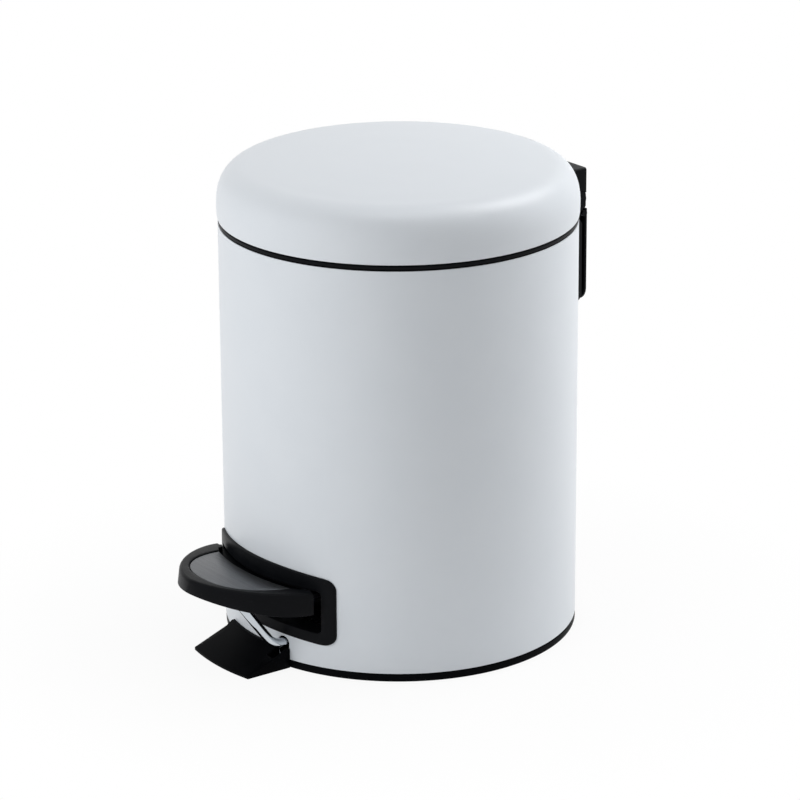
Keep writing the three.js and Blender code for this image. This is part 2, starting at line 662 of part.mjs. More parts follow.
function lidScrew(side) {
  const x = side * lidScrewSpread;
  const inside = linerRadius - linerWall;
  const seat = Math.sqrt(inside ** 2 - (lidScrewSpread + rearScrewHead / 2) ** 2) - fit;
  const head = rodAlongY(rearScrewHead, x, seat - 2, seat, lidScrewZ);
  return join([head, rodAlongY(rearScrewShank, x, seat - 2, hingeY + bracketBack - 3, lidScrewZ)]);
}

// ---------------------------------------------------------------- fixed bracket, hinge pin and carry handle
const rearScrewZ = hingeZ - 28;
const lugOuter = hingeHalf - handleArm - fit;
const lugInner = lugOuter - 4;

function bracketSide() {
  const back = hingeY + bracketBack;
  const housing = hingeY + housingBack;
  const low = hingeZ - bracketDrop;
  const backTop = Math.sqrt(barrelRadius ** 2 - bracketBack ** 2); // the back face ends on the barrel
  return shapeOf([
    [cutIn, low], [housing - 2, low], [housing, low + 2], [housing, hingeZ - housingDrop],
    [hingeY - 0.4, hingeZ - waistDrop - 0.5], [hingeY + 0.3, hingeZ - waistDrop + 0.6], [back, hingeZ - chinDrop],
    [back, hingeZ + backTop], [hingeY, hingeZ + seatRise], [cutIn, hingeZ + seatRise],
  ]);
}

function handleLug(side) {
  const shape = shapeOf([
    [hingeY - 1, hingeZ - housingDrop], [hingeY + housingBack, hingeZ - housingDrop], [handleY + 1.8, handleZ - 1],
    [handleY + 1.8, handleZ + 1], [handleY + 0.6, handleZ + 2.2], [hingeY - 1, hingeZ - chinDrop],
  ]);
  const [a, b] = [side * lugInner, side * lugOuter];
  return alongX(shape, Math.min(a, b), Math.max(a, b));
}

function hingeBracket() {
  const inner = bodyRadius + fit;
  const block = alongX(bracketSide(), -hingeHalf, hingeHalf);
  const barrel = rodX(2 * barrelRadius, -hingeHalf, hingeHalf, hingeY, hingeZ, 24);
  const body = drum(inner, hingeZ - bracketDrop - 9, hingeZ + 9);
  const gap = knuckleHalf + 0.4;
  const slotFloor = hingeZ - barrelRadius - 3.6;
  const slot = box(-gap, gap, cutIn, cutOut, slotFloor, hingeZ + barrelRadius);
  const recessShape = roundedRect(2 * (lugInner - 1), recessHeight, recessCorner, 0, hingeZ - recessDrop);
  const recess = alongY(recessShape, bodyRadius + recessWall, cutOut);
  const bore = rodX(hingePin + 0.6, -hingeHalf - 1, hingeHalf - 2.5, hingeY, hingeZ);
  const trunnionHole = rodX(trunnion + 0.6, -hingeHalf, hingeHalf, handleY, handleZ, 12);
  const screwHoles = mirrored((s) => rodAlongY(rearScrewShank + 0.6, s * screwSpread, cutIn, hingeY, rearScrewZ));
  const swing = 2 * (Math.hypot(handleRise, hingeY + handleBack - handleY) + fit);
  const armRooms = mirrored((s) => {
    const [a, b] = [s * lugOuter, s * (hingeHalf + 1)];
    return rodX(swing, Math.min(a, b), Math.max(a, b), handleY, handleZ, 24);
  });
  const whole = join([cut(join([block, barrel]), armRooms), ...mirrored(handleLug)]);
  return cut(whole, [body, slot, recess, bore, trunnionHole, ...screwHoles]);
}

function bracketScrew(side) {
  const x = side * screwSpread;
  const seat = Math.sqrt(shellInner ** 2 - (screwSpread + rearScrewHead / 2) ** 2) - fit;
  const head = rodAlongY(rearScrewHead, x, seat - 2, seat, rearScrewZ);
  return join([head, rodAlongY(rearScrewShank, x, seat - 2, hingeY - 0.6, rearScrewZ)]);
}

function carryHandle() {
  const outerFace = hingeY + handleBack;
  const innerFace = outerFace - handlePlate;
  const low = handleZ - handleLength;
  const top = handleZ + handleRise;
  const plateShape = roundedRect(2 * hingeHalf, top - low, handleCorner, 0, (top + low) / 2);
  const square = box(-hingeHalf, hingeHalf, innerFace, outerFace, handleZ - 9, top);
  const plate = join([alongY(plateShape, innerFace, outerFace), square]);
  const windowHalf = hingeHalf - handleArm;
  const window = alongY(
    roundedRect(2 * windowHalf, top - low, 4, 0, (top + low) / 2 + 9.5), innerFace - 1, outerFace + 1,
  );
  const grip = box(-lugInner, lugInner, innerFace - 1.2, outerFace - 0.5, low + 2, low + 8);
  const eyes = mirrored((s) => {
    const [a, b] = [s * hingeHalf, s * (hingeHalf - handleArm)];
    return rodX(3.6, Math.min(a, b), Math.max(a, b), handleY, handleZ, 16);
  });
  const pins = mirrored((s) => {
    const [a, b] = [s * (hingeHalf - 1), s * (lugInner + 0.5)];
    return rodX(trunnion, Math.min(a, b), Math.max(a, b), handleY, handleZ, 12);
  });
  return join([cut(plate, [window]), grip, ...eyes, ...pins]);
}

// ---------------------------------------------------------------- bucket
function innerBucket() {
  const wallTop = flangeUnder - 0.8;
  const flange = rimInner - 1.1;
  const outline = [
    [0, bucketFloor], [bucketBaseRadius - 3, bucketFloor], [bucketBaseRadius, bucketFloor + 3],
    [bucketTopRadius, wallTop], [bucketTopRadius, flangeUnder], [flange, flangeUnder], [flange, flangeTop],
    [bucketTopRadius - 0.6, flangeTop], [bucketTopRadius - bucketWall, flangeTop - 1],
    [bucketBaseRadius - bucketWall, bucketFloor + 4], [bucketBaseRadius - 4, bucketFloor + bucketWall],
    [0, bucketFloor + bucketWall],
  ];
  const ears = mirrored((s) => {
    const [a, b] = [s * earInner, s * (earInner + earWall)];
    return box(Math.min(a, b), Math.max(a, b), -4, 4, flangeTop - 0.5, bailZ + bailWire / 2 + 1.2);
  });
  const bore = rodX(bailWire + 0.6, -bodyRadius, bodyRadius, 0, bailZ, 12);
  const notch = box(-notchHalf + 2, notchHalf - 2, bucketTopRadius + 0.1, bodyRadius, flangeUnder - 5, flangeTop + 5);
  return cut(join([turned(outline), ...ears]), [bore, notch]);
}

function bucketBail() {
  const loop = new THREE.CatmullRomCurve3(
    arcPoints(bailRadius, -Math.PI / 2, Math.PI / 2, 16).map(([x, y]) => v3(x, y, bailZ)),
  );
  const stubs = mirrored((s) => {
    const [a, b] = [s * (bailRadius - 1), s * (earInner + earWall + 0.8)];
    return rodX(bailWire, Math.min(a, b), Math.max(a, b), 0, bailZ, 12);
  });
  return join([wire(loop, bailWire, 22, 4), ...stubs]);
}

function bailGrip() {
  const half = gripLength / 2 / bailRadius;
  const arc = arcPoints(bailRadius, -half, half, 8).map(([x, y]) => v3(x, y, bailZ));
  const longer = arcPoints(bailRadius, -half * 1.2, half * 1.2, 10).map(([x, y]) => v3(x, y, bailZ));
  const tube = wire(new THREE.CatmullRomCurve3(arc), gripDiameter, 8, 5);
  return tube.subtract(wire(new THREE.CatmullRomCurve3(longer), bailWire + 0.6, 9, 4));
}

// ---------------------------------------------------------------- assembly
const bin = new THREE.Group();

function add(name, body, material) {
  const mesh = new THREE.Mesh(geometryOf(body), material);
  mesh.name = name;
  bin.add(mesh);
}

const sides = { left: -1, right: 1 };

add('outer_shell', outerShell(), paint());
add('base_tray', baseTray(), blackPlastic());
add('rim_ring', rimRing(), blackPlastic());
add('pedal_bezel', pedalBezel(), blackPlastic());
add('anti_tip_toe', antiTipToe(), blackPlastic());
add('toe_screw', trayScrew(toeScrewY, trayFloorTop, fit), platedSteel());
add('fulcrum_bracket', fulcrumBracket(), platedSteel());
add('fulcrum_screw_front', trayScrew(fulcrumScrewYs[0], bracketPlateTop, trayFloorUnder + fit), platedSteel());
add('fulcrum_screw_rear', trayScrew(fulcrumScrewYs[1], bracketPlateTop, trayFloorUnder + fit), platedSteel());
add('lever_pin', rodX(leverPin, -earGap - 3, earGap + 3, pivotY, pivotHeight), platedSteel());

add('pedal_lever', pedalLever(), platedSteel());
add('pedal_stay', pedalStay(), platedSteel());
add('pedal_shell', pedalShell(), blackPlastic());
add('pedal_insert', insertBody(0, pedalTop - insertSheet - 0.1, pedalTop - 0.1), brushedSteel());

add('push_rod', pushRod(), platedSteel());
add('rod_foot', rodFoot(), blackPlastic());

add('lid_shell', lidShell(), paint());
add('lid_liner', lidLiner(), blackPlastic());
add('lid_hinge_arm', lidHingeArm(), blackPlastic());
add('rod_pin', rodX(rodPin, -armHalf, armHalf, rodY, hingeZ, 12), platedSteel());
add('lid_bumper_front', lidBumper(0), rubber());

add('hinge_bracket', hingeBracket(), blackPlastic());
add('hinge_pin', rodX(hingePin, 0.5 - hingeHalf, hingeHalf - 2.8, hingeY, hingeZ), platedSteel());
add('carry_handle', carryHandle(), blackPlastic());

add('inner_bucket', innerBucket(), greyPlastic());
add('bucket_bail', bucketBail(), platedSteel());
add('bail_grip', bailGrip(), blackPlastic());

for (const [where, side] of Object.entries(sides)) {
  const pedalScrew = screwUp(side * pedalScrewSpread, pedalScrewY, tongueTop - leverSheet - 2.3, 2, pedalCeiling - 0.5);
  add(`pedal_screw_${where}`, pedalScrew, platedSteel());
  add(`lid_screw_${where}`, lidScrew(side), platedSteel());
  add(`lid_bumper_${where}`, lidBumper(side * 1.9), rubber());
  add(`bracket_screw_${where}`, bracketScrew(side), platedSteel());
}

export default bin;
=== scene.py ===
# The finished pedal bin: smooth shells, moulded plastic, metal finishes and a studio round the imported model.
# Sizes are in millimetres, and each finished piece is brought to metres. The bin's axis is Z and it stands
# on z = 0, with the pedal towards -Y and the hinge towards +Y.
import math

import bmesh
import bpy
from mathutils import Matrix, Vector
from mathutils.geometry import interpolate_bezier


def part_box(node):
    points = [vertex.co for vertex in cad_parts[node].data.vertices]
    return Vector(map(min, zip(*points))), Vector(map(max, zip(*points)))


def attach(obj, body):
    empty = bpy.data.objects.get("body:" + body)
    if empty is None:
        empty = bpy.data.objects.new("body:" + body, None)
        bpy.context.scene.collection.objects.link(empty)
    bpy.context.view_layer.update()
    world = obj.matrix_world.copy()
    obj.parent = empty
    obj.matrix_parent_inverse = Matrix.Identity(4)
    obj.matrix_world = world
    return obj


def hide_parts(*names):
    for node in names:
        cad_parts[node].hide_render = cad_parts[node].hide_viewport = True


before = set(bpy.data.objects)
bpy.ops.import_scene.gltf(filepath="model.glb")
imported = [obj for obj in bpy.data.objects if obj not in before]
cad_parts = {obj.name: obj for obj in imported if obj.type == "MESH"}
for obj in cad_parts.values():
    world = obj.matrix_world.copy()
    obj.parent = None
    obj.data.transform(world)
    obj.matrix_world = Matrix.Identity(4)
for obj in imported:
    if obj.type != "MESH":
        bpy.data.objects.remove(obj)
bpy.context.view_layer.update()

METRE = 1000.0


def span(node):
    """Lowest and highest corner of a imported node, in millimetres."""
    low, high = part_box(node)
    return low * METRE, high * METRE


def cross_pin(node):
    """Depth and height of the axis of a pin along X."""
    low, high = span(node)
    return (low.y + high.y) / 2, (low.z + high.z) / 2


# ---- sizes
FIT = 0.3  # clearance between pieces that touch
SIDES = 192  # sides of a large turned piece
ROUND = 32  # sides of a pin, a bar or its hole

shell_low, shell_high = span("outer_shell")
_, tray_high = span("base_tray")
rim_low, rim_high = span("rim_ring")
lid_low, lid_high = span("lid_shell")
bezel_low, bezel_high = span("pedal_bezel")
toe_low, toe_high = span("anti_tip_toe")
arm_low, arm_high = span("lid_hinge_arm")
bracket_low, bracket_high = span("hinge_bracket")
handle_low, handle_high = span("carry_handle")
bucket_low, bucket_high = span("inner_bucket")

BODY_RADIUS = shell_high.x
TRIM_RADIUS = BODY_RADIUS - 0.1  # of the black bands above and below the shell
SHELL_WALL = 0.8
SHELL_INNER = BODY_RADIUS - SHELL_WALL
HINGE_Y, HINGE_Z = cross_pin("hinge_pin")
ROD_Y, _ = cross_pin("rod_pin")
PIVOT_Y, _ = cross_pin("lever_pin")
REACH_IN = BODY_RADIUS / 2  # cutting tools reach from here
REACH_OUT = BODY_RADIUS * 1.4  # out to here

STAY_SIDE = 23.0  # the stay's distance to the side of the pedal's middle
STAY_DIAMETER = 5.4
STAY_HEIGHT = 14.6
STAY_SLOT = (5.3, 18.3)  # lower and upper end of its slot
STAY_SLOT_HALF = 4.1

OPENING_HALF = 49.4
OPENING_LOW = 27.3
OPENING_HIGH = 52.8
OPENING_CORNER = 2.5
TUNNEL_WALL = 1.5
TUNNEL_DEPTH = 10.0

HINGE_HALF = bracket_high.x
KNUCKLE_HALF = 7.7
NOTCH_HALF = 11.0
BARREL_RADIUS = 4.7
HINGE_BORE = 4.6
ROD_BORE = 3.1
LEDGE_TOP = rim_low.z + 1.8  # of the rim's ledge, which carries the bucket
BRACKET_SCREWS = (22.0, HINGE_Z - 28)  # distance to each side, and height
LID_SCREWS = (18.0, HINGE_Z + BARREL_RADIUS + FIT + 6.1)
CLEAR_HOLE = 4.2  # through a sheet
THREAD_HOLE = 4.0


# ---- outlines
def rounded_rect(half, low, high, radius, steps=6, side_steps=1):
    """A rectangle with round corners about the middle, as (across, up) points from its lower right corner."""
    corners = [
        (half - radius, low + radius, -90), (half - radius, high - radius, 0),
        (radius - half, high - radius, 90), (radius - half, low + radius, 180),
    ]
    points = []
    for index, (x, z, start) in enumerate(corners):
        arc = [math.radians(start + 90 * i / steps) for i in range(steps + 1)]
        points += [(x + radius * math.cos(a), z + radius * math.sin(a)) for a in arc]
        next_x, next_z, next_start = corners[(index + 1) % 4]
        turn = math.radians(next_start)
        goal = Vector((next_x + radius * math.cos(turn), next_z + radius * math.sin(turn)))
        here = Vector(points[-1])
        points += [tuple(here.lerp(goal, i / side_steps)) for i in range(1, side_steps)]
    return points


def arc_points(radius, start, end, steps):
    """Points of an arc about the bin's axis, between two bearings from -Y towards +X, in radians."""
    bearings = [start + (end - start) * i / steps for i in range(steps + 1)]
    return [(radius * math.sin(b), -radius * math.cos(b)) for b in bearings]


def smooth_path(points, steps):
    """A smooth curve through the points, as a dense list of vectors."""
    ends = [points[0] * 2 - points[1], *points, points[-1] * 2 - points[-2]]
    path = []
    for before, start, goal, after in zip(ends, ends[1:], ends[2:], ends[3:]):
        for i in range(steps):
            t = i / steps
            bend = (2 * before - 5 * start + 4 * goal - after) * t * t
            turn = (3 * start - before - 3 * goal + after) * t**3
            path.append(start + ((goal - before) * t + bend + turn) / 2)
    return [*path, points[-1]]


# ---- meshes
def mesh_of(shape):
    """A plain mesh from a closed bmesh, with its faces turned outwards."""
    bmesh.ops.remove_doubles(shape, verts=shape.verts, dist=1e-4)
    bmesh.ops.recalc_face_normals(shape, faces=shape.faces)
    if shape.calc_volume(signed=True) < 0:
        bmesh.ops.reverse_faces(shape, faces=shape.faces)
    mesh = bpy.data.meshes.new("shape")
    shape.to_mesh(mesh)
    shape.free()
    return mesh


def prism(outline, axis, start, end):
    """An outline raised along an axis: (x, y) along Z, (y, z) along X, (x, z) along Y."""
    place = {
        "X": lambda a, b, depth: (depth, a, b),
        "Y": lambda a, b, depth: (a, depth, b),
        "Z": lambda a, b, depth: (a, b, depth),
    }[axis]
    shape = bmesh.new()
    ends = [[shape.verts.new(place(a, b, depth)) for a, b in outline] for depth in (start, end)]
    shape.faces.new(ends[0])
    shape.faces.new(list(reversed(ends[1])))
    count = len(outline)
    for i in range(count):
        j = (i + 1) % count
        shape.faces.new((ends[0][i], ends[0][j], ends[1][j], ends[1][i]))
    return mesh_of(shape)


def block(x0, x1, y0, y1, z0, z1):
    return prism([(x0, y0), (x1, y0), (x1, y1), (x0, y1)], "Z", z0, z1)


def loft(rings, closed=False):
    """A body through rings with as many points each; a closed one joins its last ring to its first."""
    shape = bmesh.new()
    made = [[shape.verts.new(point) for point in ring] for ring in rings]
    pairs = list(zip(made, made[1:]))
    if closed:
        pairs.append((made[-1], made[0]))
    count = len(rings[0])
    for lower, upper in pairs:
        for i in range(count):
            j = (i + 1) % count
            shape.faces.new((lower[i], lower[j], upper[j], upper[i]))
    if not closed:
        shape.faces.new(list(reversed(made[0])))
        shape.faces.new(made[-1])
    return mesh_of(shape)


def placed(name, data):
    made = bpy.data.objects.new(name, data)
    bpy.context.scene.collection.objects.link(made)
    return made


def baked(work):
    """The work object's shape with its modifiers, as a plain mesh. The work object goes."""
    depsgraph = bpy.context.evaluated_depsgraph_get()
    mesh = bpy.data.meshes.new_from_object(work.evaluated_get(depsgraph))
    bpy.data.objects.remove(work)
    return mesh


def combined(mesh, tools, operation):
    work = placed("work", mesh)
    helpers = [placed("tool", tool) for tool in tools]
    for helper in helpers:
        carve = work.modifiers.new("carve", "BOOLEAN")
        carve.object = helper
        carve.operation = operation
        carve.solver = "EXACT"
        helper.hide_render = True
    result = baked(work)
    for helper in helpers:
        bpy.data.objects.remove(helper)
    return result


def cut(mesh, *tools):
    return combined(mesh, tools, "DIFFERENCE")


def join(mesh, *tools):
    return combined(mesh, tools, "UNION")


def common(mesh, tool):
    return combined(mesh, [tool], "INTERSECT")


SHARP = math.radians(32)  # edges that bend more than this are rounded


def softened(mesh, width, steps=2):
    """The shape with its sharp edges rounded."""
    work = placed("work", mesh)
    bevel = work.modifiers.new("round", "BEVEL")
    bevel.width = width
    bevel.segments = steps
    bevel.limit_method = "ANGLE"
    bevel.angle_limit = SHARP
    bevel.use_clamp_overlap = True
    bevel.miter_outer = "MITER_ARC"
    return baked(work)


def softened_copy(node, width):
    """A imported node's own shape, merged, with flat faces made whole and its edges rounded."""
    shape = bmesh.new()
    shape.from_mesh(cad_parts[node].data)
    bmesh.ops.scale(shape, vec=Vector((METRE,) * 3), verts=shape.verts)
    bmesh.ops.remove_doubles(shape, verts=shape.verts, dist=1e-3)
    flat = math.radians(1)
    bmesh.ops.dissolve_limit(
        shape, angle_limit=flat, use_dissolve_boundaries=False, verts=shape.verts, edges=shape.edges
    )
    return softened(mesh_of(shape), width)


# ---- nodes
def feed(tree, sockets, values):
    """Each socket takes its value, or a link where the value is itself a socket."""
    for socket, value in zip(sockets, values):
        if isinstance(value, bpy.types.NodeSocket):
            tree.links.new(value, socket)
        else:
            socket.default_value = value


def spaced(named):
    """Keywords as the names of sockets, which have spaces."""
    return {label.replace("_", " "): value for label, value in named.items()}


def feed_named(tree, node, inputs):
    named = spaced(inputs)
    feed(tree, [node.inputs[label] for label in named], named.values())


def add(tree, kind, settings=None, **inputs):
    """A new node, with its settings and with its named inputs fed."""
    node = tree.nodes.new(kind)
    for label, value in (settings or {}).items():
        setattr(node, label, value)
    feed_named(tree, node, inputs)
    return node


def maths(tree, operation, a, b):
    node = add(tree, "ShaderNodeMath", {"operation": operation})
    feed(tree, node.inputs, (a, b))
    return node.outputs[0]


def remap(tree, value, low, high, to_low, to_high):
    """A value taken from one range to another, and kept inside it."""
    node = add(tree, "ShaderNodeMapRange")
    feed(tree, node.inputs, (value, low, high, to_low, to_high))
    return node.outputs["Result"]


# ---- node trees that make shapes
def shape_tree(name, **kinds):
    """A tree with its named inputs and a finish, and what its inputs give."""
    tree = bpy.data.node_groups.new(name, "GeometryNodeTree")
    for label, kind in {**spaced(kinds), "Finish": "Material"}.items():
        tree.interface.new_socket(label, in_out="INPUT", socket_type="NodeSocket" + kind)
    tree.interface.new_socket("Piece", in_out="OUTPUT", socket_type="NodeSocketGeometry")
    return tree, add(tree, "NodeGroupInput").outputs


def end_tree(tree, given, shape):
    """Every tree ends in Realize Instances and Set Material."""
    real = add(tree, "GeometryNodeRealizeInstances", Geometry=shape).outputs[0]
    finished = add(tree, "GeometryNodeSetMaterial", Geometry=real, Material=given["Finish"]).outputs[0]
    add(tree, "NodeGroupOutput", Piece=finished)
    return tree


def turned_tree():
    """A profile, its corners rounded, swept round the Z axis. The profile is drawn one unit from the axis."""
    kinds = {"Profile": "Geometry", "Edge_radius": "Float", "Edge_steps": "Int", "Sides": "Int"}
    tree, given = shape_tree("turned piece", **kinds)
    fillet = add(tree, "GeometryNodeFilletCurve", {"mode": "POLY"}, Curve=given["Profile"], Limit_Radius=True)
    feed_named(tree, fillet, {"Radius": given["Edge radius"], "Count": given["Edge steps"]})
    circle = add(tree, "GeometryNodeCurvePrimitiveCircle", Radius=1.0, Resolution=given["Sides"])
    upright = add(tree, "GeometryNodeSetCurveNormal", {"mode": "Z_UP"}, Curve=circle.outputs[0])
    sweep = add(tree, "GeometryNodeCurveToMesh", Curve=upright.outputs[0], Profile_Curve=fillet.outputs[0])
    merge = add(tree, "GeometryNodeMergeByDistance", Geometry=sweep.outputs[0])
    return end_tree(tree, given, merge.outputs[0])


def wire_tree():
    """A round wire along a path, with flat ends."""
    tree, given = shape_tree("round wire", Path="Geometry", Diameter="Float", Sides="Int")
    radius = maths(tree, "DIVIDE", given["Diameter"], 2.0)
    circle = add(tree, "GeometryNodeCurvePrimitiveCircle", Radius=radius, Resolution=given["Sides"])
    sweep = add(tree, "GeometryNodeCurveToMesh", Curve=given["Path"], Profile_Curve=circle.outputs[0])
    sweep.inputs["Fill Caps"].default_value = True
    return end_tree(tree, given, sweep.outputs[0])


# shares of a screw's head: its face and its cross are shares of its radius, the cross's depth of its height
HEAD_FACE = 0.82
CROSS_WIDTH = 0.3
CROSS_LENGTH = 1.1
CROSS_DEPTH = -0.55


def screw_tree():
    """A cross-head screw on every point: the head stands on the point, and the shank runs the way it aims."""
    kinds = dict.fromkeys(("Head_diameter", "Head_height", "Shank_diameter", "Length"), "Float")
    tree, given = shape_tree("cross-head screws", Places="Geometry", Aim="Vector", **kinds)
    height, length = given["Head height"], given["Length"]

    def share(value, part):
        return maths(tree, "MULTIPLY", value, part)

    def moved_up(shape, rise):
        place = add(tree, "ShaderNodeCombineXYZ", Z=rise)
        return add(tree, "GeometryNodeTransform", Geometry=shape, Translation=place.outputs[0]).outputs[0]

    def boolean(operation):
        return add(tree, "GeometryNodeMeshBoolean", {"operation": operation, "solver": "EXACT"})

    radius = share(given["Head diameter"], 0.5)
    face = share(radius, HEAD_FACE)
    head = add(tree, "GeometryNodeMeshCone", Vertices=32, Radius_Top=radius, Radius_Bottom=face, Depth=height)
    thin = share(given["Shank diameter"], 0.5)
    shank = add(tree, "GeometryNodeMeshCylinder", Vertices=20, Radius=thin, Depth=length)
    whole = boolean("UNION")
    tree.links.new(head.outputs["Mesh"], whole.inputs["Mesh 2"])
    tree.links.new(moved_up(shank.outputs["Mesh"], share(length, 0.5)), whole.inputs["Mesh 2"])
    recess = boolean("DIFFERENCE")
    tree.links.new(whole.outputs["Mesh"], recess.inputs["Mesh 1"])
    narrow, wide = share(radius, CROSS_WIDTH), share(radius, CROSS_LENGTH)
    for across, along in ((narrow, wide), (wide, narrow)):
        size = add(tree, "ShaderNodeCombineXYZ", X=across, Y=along, Z=height)
        bar = add(tree, "GeometryNodeMeshCube", Size=size.outputs[0])
        tree.links.new(moved_up(bar.outputs["Mesh"], share(height, CROSS_DEPTH)), recess.inputs["Mesh 2"])
    aim = add(tree, "FunctionNodeAlignRotationToVector", {"axis": "Z"}, Vector=given["Aim"])
    place = add(tree, "GeometryNodeInstanceOnPoints", Points=given["Places"], Instance=recess.outputs["Mesh"])
    tree.links.new(aim.outputs["Rotation"], place.inputs["Rotation"])
    return end_tree(tree, given, place.outputs[0])


def grown(tree, base, **values):
    """The mesh that a node tree makes from a curve or mesh, with its named inputs set."""
    work = placed("work", base)
    grow = work.modifiers.new("grow", "NODES")
    grow.node_group = tree
    names = {item.name: item.identifier for item in tree.interface.items_tree if item.in_out == "INPUT"}
    for label, value in spaced(values).items():
        grow[names[label]] = value
    shape = bmesh.new()
    shape.from_mesh(baked(work))
    return mesh_of(shape)


def drawn(points, cyclic):
    curve = bpy.data.curves.new("path", "CURVE")
    curve.dimensions = "3D"
    line = curve.splines.new("POLY")
    line.points.add(len(points) - 1)
    for point, place in zip(line.points, points):
        point.co = (*place, 1.0)
    line.use_cyclic_u = cyclic
    return curve


TURNED = turned_tree()
WIRE = wire_tree()
SCREWS = screw_tree()


def turned(outline, edge=0.0, sides=SIDES):
    """An outline of (radius, height) points turned about Z. One that starts on the axis also ends there."""
    on_axis = outline[0][0] == 0
    profile = drawn([(r - 1.0, -z, 0.0) for r, z in outline], cyclic=not on_axis)
    return grown(TURNED, profile, Edge_radius=edge, Edge_steps=3, Sides=sides)


def band(inner, outer, low, high, edge=0.0):
    return turned([(inner, low), (outer, low), (outer, high), (inner, high)], edge)


def drum(radius, low, high):
    return turned([(0, low), (radius, low), (radius, high), (0, high)])


def wire(points, diameter, sides=24):
    return grown(WIRE, drawn(points, cyclic=False), Diameter=diameter, Sides=sides)


def pin_along_x(diameter, x0, x1, y, z, sides=ROUND):
    return wire([(x0, y, z), (x1, y, z)], diameter, sides)


def bar_along_y(diameter, x, y0, y1, z):
    return wire([(x, y0, z), (x, y1, z)], diameter, ROUND)


def bar_along_z(diameter, x, y, z0, z1):
    return wire([(x, y, z0), (x, y, z1)], diameter, ROUND)


def sides_of(make):
    return [make(side) for side in (-1, 1)]


def between(side, near, far):
    return min(side * near, side * far), max(side * near, side * far)


def screw_holes(diameter, far, spread, height):
    return sides_of(lambda s: bar_along_y(diameter, s * spread, REACH_IN, far, height))


# ---- shader groups
def shader_group(name, inputs, outputs):
    group = bpy.data.node_groups.new(name, "ShaderNodeTree")
    group.interface.new_socket("Place", in_out="INPUT", socket_type="NodeSocketVector")
    for label, value in inputs.items():
        socket = group.interface.new_socket(label, in_out="INPUT", socket_type="NodeSocketFloat")
        socket.default_value = value
    for label in outputs:
        group.interface.new_socket(label, in_out="OUTPUT", socket_type="NodeSocketFloat")
    return group, add(group, "NodeGroupInput").outputs, add(group, "NodeGroupOutput").inputs


def noise(tree, place, scale, detail, roughness=0.5):
    node = add(tree, "ShaderNodeTexNoise", Vector=place, Scale=scale, Detail=detail, Roughness=roughness)
    return node.outputs["Fac"]


def fine_grain_group():
    """Tiny even grain, as of powder coat or a spark-eroded mould: a height and a slow change of gloss."""
    inputs = {"Grains per metre": 2000.0, "Unevenness": 60.0}
    group, given, out = shader_group("fine grain", inputs, ["Height", "Gloss change"])
    place, grains = given["Place"], given["Grains per metre"]
    cells = add(group, "ShaderNodeTexVoronoi", {"feature": "SMOOTH_F1"}, Vector=place, Scale=grains)
    height = maths(group, "ADD", cells.outputs["Distance"], noise(group, place, grains, 2.0))
    slow = noise(group, place, given["Unevenness"], 3.0)
    feed(group, out, (height, remap(group, slow, 0.3, 0.7, -1.0, 1.0)))
    return group


def brush_lines_group():
    """Fine lines of a brushed or drawn metal, along the first axis of the place that is given."""
    group, given, out = shader_group("brush lines", {"Lines per metre": 2600.0}, ["Lines", "Streaks"])
    stretch = add(group, "ShaderNodeMapping", Vector=given["Place"], Scale=(0.012, 1.0, 1.0))
    place, count = stretch.outputs["Vector"], given["Lines per metre"]
    fine = noise(group, place, count, 2.0, 0.7)
    broad = noise(group, place, maths(group, "MULTIPLY", count, 0.16), 3.0, 0.6)
    feed(group, out, (remap(group, fine, 0.25, 0.75, 0.0, 1.0), remap(group, broad, 0.3, 0.7, 0.0, 1.0)))
    return group


def rubbed_edges_group():
    """Where handling has polished an edge: the piece's own edge mask, broken up by noise."""
    group, given, out = shader_group("rubbed edges", {"Edge": 0.0, "Amount": 0.5}, ["Mask"])
    patches = remap(group, noise(group, given["Place"], 140.0, 4.0), 0.35, 0.7, 0.0, 1.0)
    broken = maths(group, "MULTIPLY", given["Edge"], patches)
    feed(group, out, [maths(group, "MULTIPLY", broken, given["Amount"])])
    return group


GRAIN = fine_grain_group()
BRUSHED = brush_lines_group()
RUBBED = rubbed_edges_group()


class Finish:
    """A material under construction, with its Principled shader and the piece's own coordinates."""

    def __init__(self, name):
        self.material = bpy.data.materials.new(name)
        self.material.use_nodes = True
        self.tree = self.material.node_tree
        self.shader = self.tree.nodes["Principled BSDF"]
        self.place = add(self.tree, "ShaderNodeTexCoord").outputs["Object"]

    def group(self, group, **values):
        return add(self.tree, "ShaderNodeGroup", {"node_tree": group}, Place=self.place, **values).outputs

    def shade(self, **inputs):
        feed_named(self.tree, self.shader, inputs)

    def mix(self, share, first, second):
        """A colour between two, each of which is given or a socket."""
        node = add(self.tree, "ShaderNodeMix", {"data_type": "RGBA"}, A=first, B=second, Factor=share)
        return node.outputs["Result"]

    def relief(self, height, depth):
        bump = add(self.tree, "ShaderNodeBump", Strength=1.0, Distance=depth, Height=height)
        self.shade(Normal=bump.outputs["Normal"])

    def grained(self, grains, unevenness, dark, light, low, high, depth):
        """Fine grain in relief and gloss, and a colour between two near tones."""
        grain = self.group(GRAIN, Grains_per_metre=grains, Unevenness=unevenness)
        change = grain["Gloss change"]
        self.shade(Roughness=remap(self.tree, change, -1.0, 1.0, low, high))
        self.relief(grain["Height"], depth)
        return self.mix(remap(self.tree, change, -1.0, 1.0, 0.0, 1.0), (*dark, 1.0), (*light, 1.0))

    def rubbed(self, amount):
        """The mask of rubbed edges, from the piece's own edge mask."""
        edge = add(self.tree, "ShaderNodeAttribute", {"attribute_name": "edge"})
        return self.group(RUBBED, Amount=amount, Edge=edge.outputs["Fac"])["Mask"]


